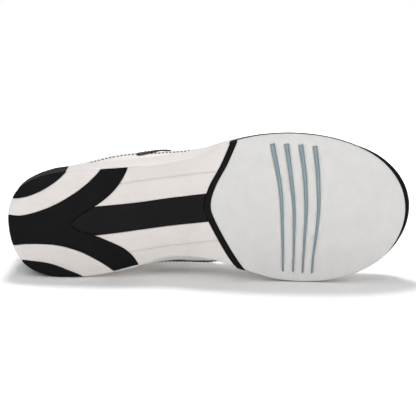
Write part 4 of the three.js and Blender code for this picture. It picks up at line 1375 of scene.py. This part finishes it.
def grow(tree, kind, inputs, **settings):
    """One step of a node tree: adds the node and gives what it makes."""
    return put(tree, kind, inputs, **settings).outputs[0]


# %% [markdown]
# ### One ring for every hole
# The flange is a flattened circle swept round the bore, and the barrel is a thin upright one. Both are
# joined and set on each point, turned so that their axis follows the direction kept there.

# %% Ring on points
ring_tree, given, out = new_tree("ring_on_points", ["Bore", "Flange", "Thickness", "Barrel"], ["Metal"])
CIRCLE = "GeometryNodeCurvePrimitiveCircle"
half_flange = math_node(ring_tree, "MULTIPLY", given["Flange"], 0.5)
middle_radius = math_node(ring_tree, "ADD", given["Bore"], half_flange)
flange_line = grow(ring_tree, CIRCLE, {"Resolution": 28, "Radius": middle_radius})
flange_round = grow(ring_tree, CIRCLE, {"Resolution": 10, "Radius": 0.5})
flange_size = {"X": given["Flange"], "Y": given["Thickness"], "Z": 1.0}
flange_size = grow(ring_tree, "ShaderNodeCombineXYZ", flange_size)
flange_cut = grow(ring_tree, "GeometryNodeTransform", {"Geometry": flange_round, "Scale": flange_size})
flange = grow(ring_tree, "GeometryNodeCurveToMesh", {"Curve": flange_line, "Profile Curve": flange_cut})
BARREL_WALL = 0.5 * MM
tube_radius = math_node(ring_tree, "ADD", given["Bore"], BARREL_WALL / 2)
tube_line = grow(ring_tree, CIRCLE, {"Resolution": 28, "Radius": tube_radius})
tube_size = {"Width": BARREL_WALL, "Height": given["Barrel"]}
tube_cut = grow(ring_tree, "GeometryNodeCurvePrimitiveQuadrilateral", tube_size)
tube = grow(ring_tree, "GeometryNodeCurveToMesh", {"Curve": tube_line, "Profile Curve": tube_cut})
drop = math_node(ring_tree, "MULTIPLY", given["Barrel"], -0.5)
down = grow(ring_tree, "ShaderNodeCombineXYZ", {"Z": drop})
barrel = grow(ring_tree, "GeometryNodeTransform", {"Geometry": tube, "Translation": down})
joined = ring_tree.nodes.new("GeometryNodeJoinGeometry")
for part in (flange, barrel):
    ring_tree.links.new(part, joined.inputs[0])
axis_in = grow(ring_tree, "GeometryNodeInputNamedAttribute", {"Name": "axis"}, data_type="FLOAT_VECTOR")
facing_up = grow(ring_tree, "FunctionNodeAlignRotationToVector", {"Vector": axis_in}, axis="Z")
rings_on = {"Points": given["Geometry"], "Instance": joined.outputs[0], "Rotation": facing_up}
placed_rings = grow(ring_tree, "GeometryNodeInstanceOnPoints", rings_on)
finish_tree(ring_tree, placed_rings, given["Metal"], out)

spot_list = [spot for side, _ in SIDES for spot in SPOTS[side]]
marks = new_piece("eyelet_marks", [p + n * FLANGE_RISE for p, n in spot_list], [], GUNMETAL)
axis_data = marks.data.attributes.new("axis", "FLOAT_VECTOR", "POINT")
axis_data.data.foreach_set("vector", np.array([n for _, n in spot_list], np.float32).ravel())
ring_sizes = {"Bore": EYELET_BORE, "Flange": 1.8, "Thickness": 0.62, "Barrel": BARREL}
ring_sizes = {title: size * MM for title, size in ring_sizes.items()}
eyelets = grown_by(ring_tree, marks, "eyelet_rings", {**ring_sizes, "Metal": GUNMETAL})
print("eyelets:", len(spot_list), "triangles:", 2 * len(eyelets.data.polygons))

# %% [markdown]
# ### Punched holes
# The facings and quarters are punched where the rings sit. Twelve short rods are joined into one cutter, and
# a Boolean takes them out of each panel before its edges are softened.

# %% Punching
ROD_SIDES = 20
ROD_ABOVE = 3


def rods(radius, length):
    angles = 2 * np.pi * np.arange(ROD_SIDES) / ROD_SIDES
    points, faces = [], []
    for p, n in spot_list:
        a = np.cross(n, (1, 0, 0))
        a /= np.linalg.norm(a)
        b = np.cross(n, a)
        circle = radius * (np.cos(angles)[:, None] * a + np.sin(angles)[:, None] * b)
        k = len(points)
        points += [*(p + circle - n * length), *(p + circle + n * ROD_ABOVE)]
        faces += [tuple(k + i for i in face) for face in tube_faces(2, ROD_SIDES)]
    return tidy_mesh(new_piece("punch", points, faces, GUNMETAL))


punch = rods(EYELET_BORE + 0.55, 9)
for side, word in SIDES:
    for title in ("facing_", "quarter_", "quarter_lining_"):
        piece = pieces[title + word]
        cut = piece.modifiers.new("punched", "BOOLEAN")
        cut.operation = "DIFFERENCE"
        cut.solver = "EXACT"
        cut.object = punch
        bevels = [m for m in piece.modifiers if m.type == "BEVEL"]
        for m in bevels:
            m.show_viewport = False
        graph = bpy.context.evaluated_depsgraph_get()
        mesh = bpy.data.meshes.new_from_object(piece.evaluated_get(graph))
        piece.modifiers.remove(cut)
        piece.data = mesh
        for m in bevels:
            m.show_viewport = True
        print(title + word, "faces after punching:", len(mesh.polygons))
bpy.data.objects.remove(punch)

# %% [markdown]
# ## Lace
# The lace is one round braided cord. It starts with a straight bar over the lowest pair of eyelets, crosses
# from side to side over the tongue, and its ends are tucked under the quarters. The route is a list of
# points on the last, a little above or below the leather, and a smooth curve passes through them.

# %% Lace route
LACE_ROOM = 3.6
OVER_FLANGE = OVERLAY[1] + 1.1 + LACE_RADIUS + FIT
OVER_EDGE = OVERLAY[1] + LACE_RADIUS + 0.8
UNDER_LINING = -LACE_ROOM / 2
TUCK = ((4, 5), (10, 9), (20, 11), (32, 12))


def throat_point(side, x, across, d):
    t = float(station(x))
    return last_point(t, on_side(side, float(angle_at_distance(t, max(across, 1e-3)))), d)


def into_hole(side, k, down):
    p, n = SPOTS[side][k]
    line = [p + n * 2.3, p - n * (BARREL + 0.6), p + n * (UNDER_LINING + 0.7 - OVERLAY[1])]
    return line if down else line[::-1]


def crossing(side, k, over):
    xa, xb = eyelet_x(k), eyelet_x(k + 1)
    half_a, half_b = throat_half(xa), throat_half(xb)
    first, last = k == 0, k == EYELETS - 2
    near = UNDER_LINING if first else OVER_EDGE
    far = OVER_EDGE if last else UNDER_LINING
    centre = (near + far) / 2 + (1 if over else -1) * (LACE_RADIUS + 0.4) + (1.8 if first else 0)
    line = [
        throat_point(side, mix(xa, xb, 0.16), half_a + (-1.5 if first else 1), near),
        throat_point(side, mix(xa, xb, 0.3), half_a * 0.55, mix(near, centre, 0.55)),
        throat_point(side, mix(xa, xb, 0.5), 0, centre),
        throat_point(-side, mix(xa, xb, 0.7), half_b * 0.55, mix(far, centre, 0.55)),
        throat_point(-side, mix(xa, xb, 0.84), half_b + (1 if last else -1.5), far),
    ]
    if not first:
        line.insert(0, throat_point(side, mix(xa, xb, 0.06), half_a + FACING_MARGIN - 3, OVER_FLANGE))
    if last:
        line.append(throat_point(-side, mix(xa, xb, 0.94), half_b + FACING_MARGIN - 3, OVER_FLANGE))
    return line


def strand(start):
    side = start
    route = into_hole(side, 0, True)
    for k in range(EYELETS - 1):
        route += crossing(side, k, (start == OUTER) == (k % 2 == 0))
        side = -side
        route += into_hole(side, k + 1, k == EYELETS - 2)
    x = eyelet_x(EYELETS - 1)
    base = throat_half(x) + FACING_MARGIN
    tucked = [throat_point(side, x + f, base + o, UNDER_LINING) for f, o in TUCK]
    return route + tucked


BAR_LINE = [(-17.6, 0), (-13, 0.3), (-6, 1.6), (0, 2), (6, 1.6), (13, 0.3), (17.6, 0)]
lace_bar = [
    throat_point(OUTER if y < 0 else INNER, eyelet_x(0), abs(y), OVER_FLANGE - dip) for y, dip in BAR_LINE
]
lace_line = strand(OUTER)[::-1] + lace_bar + strand(INNER)


def cord(name, line, radius, sides, per_span, material):
    """A closed round cord along a smooth line, with its length and turn kept as a UV map."""
    p = centripetal(line, per_span, closed=False)
    along = np.gradient(p, axis=0)
    along /= np.linalg.norm(along, axis=1)[:, None]
    normal = np.array([0.0, 0.0, 1.0])
    length = np.concatenate([[0], np.cumsum(np.linalg.norm(np.diff(p, axis=0), axis=1))])
    points, uv = [], []
    turns = 2 * np.pi * np.arange(sides) / sides
    for q, a, s in zip(p, along, length):
        normal = normal - a * normal.dot(a)
        normal /= np.linalg.norm(normal)
        ring = np.cos(turns)[:, None] * normal + np.sin(turns)[:, None] * np.cross(a, normal)
        points.append(q + radius * ring)
        uv.append(np.column_stack([np.full(sides, s), np.abs(turns / np.pi - 1) * 3]))
    faces = tube_faces(len(p), sides)
    return new_piece(name, np.vstack(points), faces, material, np.vstack(uv)), length[-1]


# %% [markdown]
# ### Braid
# The braid's strands cross at a steep angle. Two sets of diagonal waves on the cord's own UV map, one each
# way, give the herringbone, whatever way the cord turns. The cord is coloured darker in the low parts between
# the strands: painted shade.

# %% Lace finish and lace
def braid(name, light, dark):
    soft = {"Specular_IOR_Level": 0.25, "Sheen_Weight": 0.2}
    material, tree, shader, place = start_finish(name, light, 0.85, **soft)
    along = tree.nodes.new("ShaderNodeUVMap")
    along.uv_map = "UVMap"
    part = put(tree, "ShaderNodeSeparateXYZ", {0: along.outputs[0]})
    waves = []
    for lean in (1.0, -1.0):
        turned = math_node(tree, "MULTIPLY", part.outputs[1], lean * 2.1)
        phase = math_node(tree, "ADD", math_node(tree, "MULTIPLY", part.outputs[0], 4.2), turned)
        waves.append(math_node(tree, "SINE", phase))
    height = math_node(tree, "MAXIMUM", *waves)
    share = span(tree, height, -0.4, 0.6)
    # painted shade: the cord is coloured darker where the braid is low, between the strands
    set_colour(tree, shader, share, dark, light)
    set_bump(tree, shader, [(height, 0.22, 0.7), (noise(tree, place, 2800.0, 2.0), 0.05, 0.4)])
    return material


LACE_BRAID = braid("lace_braid", rgb(236, 235, 232), rgb(196, 195, 191))
pieces["lace"], lace_length = cord("lace_skin", lace_line, LACE_RADIUS, 12, 5, LACE_BRAID)
print("lace length, mm:", round(lace_length), "triangles:", 2 * len(pieces["lace"].data.polygons))
for side, word in SIDES:
    x = eyelet_x(EYELETS - 1) + TUCK[-1][0]
    base = throat_half(eyelet_x(EYELETS - 1)) + FACING_MARGIN + TUCK[-1][1]
    tip = [throat_point(side, x + s, base + s * 0.06, UNDER_LINING) for s in (0.5, 7.2, 13.8, 20.5)]
    title = "aglet_" + word
    pieces[title], _ = cord(title + "_skin", tip, LACE_RADIUS * 0.92, 14, 4, LACE_TIP)

# %% [markdown]
# ## Heel loop
# A strip of webbing stands up behind the top line to pull the shoe on. It follows a side view line and has
# ribs across its weave.

# %% Heel loop
LOOP_WIDTH = 16
LOOP_THICK = 1.4
foot_phi = float(angle_at_height(0.01, lambda x: top_line(x) - 16, OVERLAY[1]))
foot = last_point(0.0, foot_phi, OVERLAY[1] + FIT)
loop_top = float(top_line(0.0)) + 7
LOOP_RISE = [(0, foot[2]), (0.6, foot[2] + 9)]
LOOP_TURN = [(-0.6, loop_top - 4), (2.2, loop_top), (6, loop_top - 1), (8.2, loop_top - 5.2)]
line = centripetal([(foot[0] + x, z) for x, z in LOOP_RISE + LOOP_TURN], 14, closed=False)
along = np.gradient(line, axis=0)
along /= np.linalg.norm(along, axis=1)[:, None]
lanes = np.linspace(-LOOP_WIDTH / 2, LOOP_WIDTH / 2, 17)
ribs = 0.1 * np.cos(np.pi * np.arange(17))


def loop_surface(rise, ribbed):
    out = rise + (ribs if ribbed else 0 * ribs)
    x = line[:, None, 0] - along[:, None, 1] * out
    z = line[:, None, 1] + along[:, None, 0] * out
    return np.stack([x, np.broadcast_to(lanes, x.shape), z], axis=-1)


loop_outside = loop_surface(LOOP_THICK - 0.1, True)
pieces["heel_loop"] = shell("heel_loop", loop_outside, loop_surface(0.0, False), BLACK_KNIT, 0.3)

# %% [markdown]
# ## Sewing
# Each seam is a line on a panel, a couple of millimetres in from its edge. A Geometry Nodes tree walks along
# every line at an even pitch and lays one thread stitch on each step, turned along the seam.

# %% Stitch tree
stitch_tree, given, out = new_tree("stitch_line", ["Pitch", "Length", "Radius"], ["Thread"])
seam_curve = grow(stitch_tree, "GeometryNodeMeshToCurve", {"Mesh": given["Geometry"]})
stepped = {"Curve": seam_curve, "Length": given["Pitch"]}
steps = put(stitch_tree, "GeometryNodeCurveToPoints", stepped, mode="LENGTH").outputs
bead = grow(stitch_tree, "GeometryNodeMeshUVSphere", {"Segments": 6, "Rings": 5, "Radius": 1.0})
half_length = math_node(stitch_tree, "MULTIPLY", given["Length"], 0.5)
bead_size = {"X": half_length, "Y": given["Radius"], "Z": given["Radius"]}
bead_size = grow(stitch_tree, "ShaderNodeCombineXYZ", bead_size)
stitch = grow(stitch_tree, "GeometryNodeTransform", {"Geometry": bead, "Scale": bead_size})
turned = grow(stitch_tree, "FunctionNodeAlignRotationToVector", {"Vector": steps["Tangent"]}, axis="X")
stitches_on = {"Points": steps[0], "Instance": stitch, "Rotation": turned}
laid = grow(stitch_tree, "GeometryNodeInstanceOnPoints", stitches_on)
finish_tree(stitch_tree, laid, given["Thread"], out)
STITCH = {"Pitch": 2.9 * MM, "Length": 2.2 * MM, "Radius": 0.3 * MM}


def sew(name, lines, thread):
    points, edges = [], []
    for line in lines:
        k = len(points)
        points += list(line)
        edges += [(k + i, k + i + 1) for i in range(len(line) - 1)]
    mesh = bpy.data.meshes.new(name)
    mesh.from_pydata(to_row(points).tolist(), edges, [])
    piece = grown_by(stitch_tree, in_scene(name + "_line", mesh), name, {**STITCH, "Thread": thread})
    print(name, "triangles:", 2 * len(piece.data.polygons))
    return piece


def across_rule(rule, d, u=None, v=None, start=0.02, end=0.98, count=160):
    """A line on a panel at a fixed u or v."""
    run = np.linspace(start, end, count)
    t, phi = rule(run if u is None else np.full(count, u), run if v is None else np.full(count, v))
    return last_point(t, phi, d)


# %% [markdown]
# ### Where the seams run
# White thread holds the facings, the quarters' front edges, the cap and the vamp. Dark thread holds the
# black overlays and runs in two rows above the sole. Lines on a panel are found with the panel's own rule,
# so they follow its edge wherever it goes.

# %% Seams
ON_UPPER = UPPER[1] + 0.08
ON_OVERLAY = OVERLAY[1] + 0.08
white_seams = []
dark_seams = []
for side, _ in SIDES:
    facing = facing_rule(side)
    white_seams += [across_rule(facing, ON_OVERLAY, v=v) for v in (0.13, 0.24, 0.87)]
    white_seams += [across_rule(facing, ON_OVERLAY, u=0.022, start=0.13, end=0.87, count=20)]
    quarter = quarter_rules[side]
    white_seams += [across_rule(quarter, ON_UPPER, v=0.965, start=0.2, end=0.47)]
    white_seams += [across_rule(quarter, ON_UPPER, u=u, start=0.1, end=0.72) for u in (0.975, 0.955)]
    on_stripe = {"start": 0.06, "end": 0.95, "count": 60}
    dark_seams += [across_rule(stripe_rule(side), ON_OVERLAY, v=v, **on_stripe) for v in (0.2, 0.8)]
    for rise in (12.8, 15.2):
        t = station(np.linspace(56, 160, 120))
        bow = rise + 7 * np.sin(np.pi * np.linspace(0, 1, 120))
        phi = angle_at_height(t, lambda x: rim_z(x) + bow, UPPER[1])
        dark_seams += [last_point(t, on_side(side, phi), ON_UPPER)]
heel_sides = (0.03, 0.055, 0.945, 0.97)
dark_seams += [across_rule(heel_rule, ON_OVERLAY, u=u, start=0.12, end=0.95) for u in heel_sides]
dark_seams += [across_rule(heel_rule, ON_OVERLAY, v=0.955, start=0.04, end=0.96, count=240)]
seams_white = sew("seams_white", white_seams, WHITE_THREAD)
seams_dark = sew("seams_dark", dark_seams, BLACK_THREAD)
cap_lines = [across_rule(cap_rule, ON_OVERLAY, u=u, start=0.1, end=0.9) for u in (0.05, 0.13)]
seams_cap = sew("seams_cap", cap_lines, WHITE_THREAD)
vamp_lines = [across_rule(vamp_rule, ON_UPPER, u=u, start=0.1, end=0.9) for u in (0.022, 0.045)]
seams_vamp = sew("seams_vamp", vamp_lines, WHITE_THREAD)

# %% [markdown]
# ## Hidden pieces
# The foam midsole, the steel shank, the insole board, the toe puff and the heel counter are inside the shoe.
# Their modelled shapes are right as they are, so they keep them and get their own finishes. The midsole and
# the board also have to bend at the ball, so a copy of each is cut across in short lengths there: a long
# triangle can't roll, a row of short ones can.

# %% Finishes on hidden pieces
FLEX_START = (0.041, 0, 0)
FLEX_END = (0.087, 0, 0)


def bending_copy(title, name, material):
    mesh = bpy.data.objects[title].data.copy()
    cut = bmesh.new()
    cut.from_mesh(mesh)
    bmesh.ops.remove_doubles(cut, verts=cut.verts, dist=1e-6)
    for x in np.linspace(FLEX_START[0], FLEX_END[0], 13):
        everything = cut.verts[:] + cut.edges[:] + cut.faces[:]
        bmesh.ops.bisect_plane(cut, geom=everything, plane_co=(x, 0, 0), plane_no=(1, 0, 0))
    bmesh.ops.triangulate(cut, faces=cut.faces)
    cut.to_mesh(mesh)
    cut.free()
    mesh.materials.clear()
    mesh.materials.append(material)
    mesh.name = name
    print(name, "triangles:", len(mesh.polygons))
    return in_scene(name, mesh)


bending = {
    "midsole": bending_copy("midsole", "midsole_foam", FOAM),
    "insole_board": bending_copy("insole_board", "insole_board_sheet", FIBRE_BOARD),
}
for title, material in (("shank", SPRING_STEEL), ("toe_puff", FIBRE_BOARD), ("heel_counter", FIBRE_BOARD)):
    for place in bpy.data.objects[title].material_slots:
        place.material = material
    print(title, "finish:", material.name)

# %% [markdown]
# ## Floor, light and backdrop
# The shoe lies on its side, so what it rests on is an upright sheet beside it, which leans on the heel and
# the ball. A level floor lies under the sole. Both are seen from their fronts only: the shader lets rays
# through from behind, so the shoe can also be looked at from that side. Far from the shoe they glow a
# little, as a lit backdrop does.

# %% Stage
FAR = 3.0
FLOOR_Z = -0.0005


def plain_sheet(name, corners):
    mesh = bpy.data.meshes.new(name)
    mesh.from_pydata(corners, [], [(0, 1, 2, 3)])
    sheet = in_scene(name, mesh)
    material = bpy.data.materials.new(name)
    material.use_nodes = True
    tree = material.node_tree
    shader = tree.nodes["Principled BSDF"]
    shader.inputs["Base Color"].default_value = (0.93, 0.93, 0.93, 1)
    shader.inputs["Roughness"].default_value = 0.9
    shader.inputs["Emission Color"].default_value = (1, 1, 1, 1)
    place = tree.nodes.new("ShaderNodeTexCoord").outputs["Object"]
    away = put(tree, "ShaderNodeVectorMath", {0: place}, operation="LENGTH").outputs["Value"]
    tree.links.new(span(tree, away, 0.1, 0.7, 0.0, 0.55), shader.inputs["Emission Strength"])
    behind = tree.nodes.new("ShaderNodeNewGeometry").outputs["Backfacing"]
    clear = tree.nodes.new("ShaderNodeBsdfTransparent").outputs[0]
    mixer = put(tree, "ShaderNodeMixShader", {0: behind, 1: shader.outputs[0], 2: clear})
    tree.links.new(mixer.outputs[0], tree.nodes["Material Output"].inputs["Surface"])
    mesh.materials.append(material)
    return sheet


def leaning_line(leaners):
    """Where a straight sheet on the inner side touches the heel and the ball."""
    plan = np.array([v.co[:2] for piece in leaners for v in piece.data.vertices])
    heel = plan[plan[:, 0] < -0.06]
    ball = plan[plan[:, 0] > 0.02]
    slope = 0.0
    for _ in range(20):
        a = heel[np.argmax(heel[:, 1] - slope * heel[:, 0])]
        b = ball[np.argmax(ball[:, 1] - slope * ball[:, 0])]
        slope = (b[1] - a[1]) / (b[0] - a[0])
    return Vector((*a, 0)), Vector((*b, 0))


heel_touch, ball_touch = leaning_line(list(soles.values()) + list(pieces.values()))
print("the sheet touches at", [round(1000 * c, 1) for c in (*heel_touch[:2], *ball_touch[:2])])
lie = (ball_touch - heel_touch).normalized()
SQUARE = ((-FAR, -FAR), (FAR, -FAR), (FAR, FAR), (-FAR, FAR))
upright = [(*(heel_touch + lie * along)[:2], z) for along, z in SQUARE]
side_sheet = plain_sheet("backdrop", upright)
side_sheet.visible_shadow = False
floor = plain_sheet("floor", [(x, y, FLOOR_Z) for x, y in SQUARE])
floor.visible_shadow = False
floor.visible_diffuse = False
floor.visible_glossy = False
print("the sheet turns by, degrees:", round(math.degrees(math.atan2(lie.y, lie.x)), 1))

# %% [markdown]
# ### Lights
# A white surround fills every shadow a little and is seen as pure white. Four soft discs do the rest: two
# light the sole, one lights the sheet and the upper, and one lights the side that leans on the sheet.

# %% Surround and lights
SURROUND = 0.5
world = bpy.data.worlds.new("surround")
world.use_nodes = True
sky = world.node_tree
surround = sky.nodes["Background"]
surround.inputs["Color"].default_value = (1, 1, 1, 1)
seen = sky.nodes.new("ShaderNodeLightPath").outputs["Is Camera Ray"]
sky.links.new(span(sky, seen, 0.0, 1.0, SURROUND, 1.0), surround.inputs["Strength"])
bpy.context.scene.world = world
bpy.context.scene.view_settings.view_transform = "Standard"


for name, place, size, power in (
    ("light_high", (-0.35, -0.9, -1.0), 0.9, 3.5),
    ("light_front", (0.3, -0.15, -1.4), 1.0, 7.2),
    ("light_back", (0.05, -1.35, 0.6), 0.4, 15),
    ("light_beyond", (0.3, 1.4, 0.7), 1.2, 7.0),
):
    lamp = bpy.data.lights.new(name, "AREA")
    lamp.shape = "DISK"
    lamp.size = size
    lamp.energy = power
    holder = in_scene(name, lamp)
    holder.location = place
    holder.rotation_euler = (-Vector(place)).to_track_quat("-Z", "Y").to_euler()

# %% [markdown]
# ## Moving with the bodies
# The sole, the lining and the vamp bend at the ball, where leather and rubber roll rather than hinge, so they
# are kept free of any body, with their places baked into their meshes; so are the tongue and the bending
# copies. The other pieces are attached to the shoe's, the toe's or the tongue's body.

# %% Bodies
for title, piece in {**soles, **pieces, **bending}.items():
    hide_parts(title)
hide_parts(*[f"eyelet_{word}_{k + 1}" for _, word in SIDES for k in range(EYELETS)])
for piece in (eyelets, seams_white, seams_dark):
    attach(piece, "shoe")
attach(seams_cap, "toe")
flexing = [soles["outsole_cup"], soles["slide_base"], soles["slide_sole"], stripes_inked]
flexing += [pieces[title] for title in ("vamp", "vamp_lining", "sock_liner")] + [seams_vamp]
for piece in flexing + list(bending.values()):
    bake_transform(piece)
for title in ("heel_fork", "heel_pad_outer", "heel_pad_inner", "waist_bar"):
    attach(soles[title], "shoe")
for title in ("toe_cap", "toe_bumper"):
    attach(pieces[title], "toe")
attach(pieces["tongue_label"], "tongue_top")
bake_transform(pieces["tongue"])
placed = {"vamp", "vamp_lining", "sock_liner", "toe_cap", "toe_bumper", "tongue", "tongue_label"}
for title in sorted(set(pieces) - placed):
    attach(pieces[title], "shoe")
print("pieces that bend at the ball:", len(flexing) + len(bending))
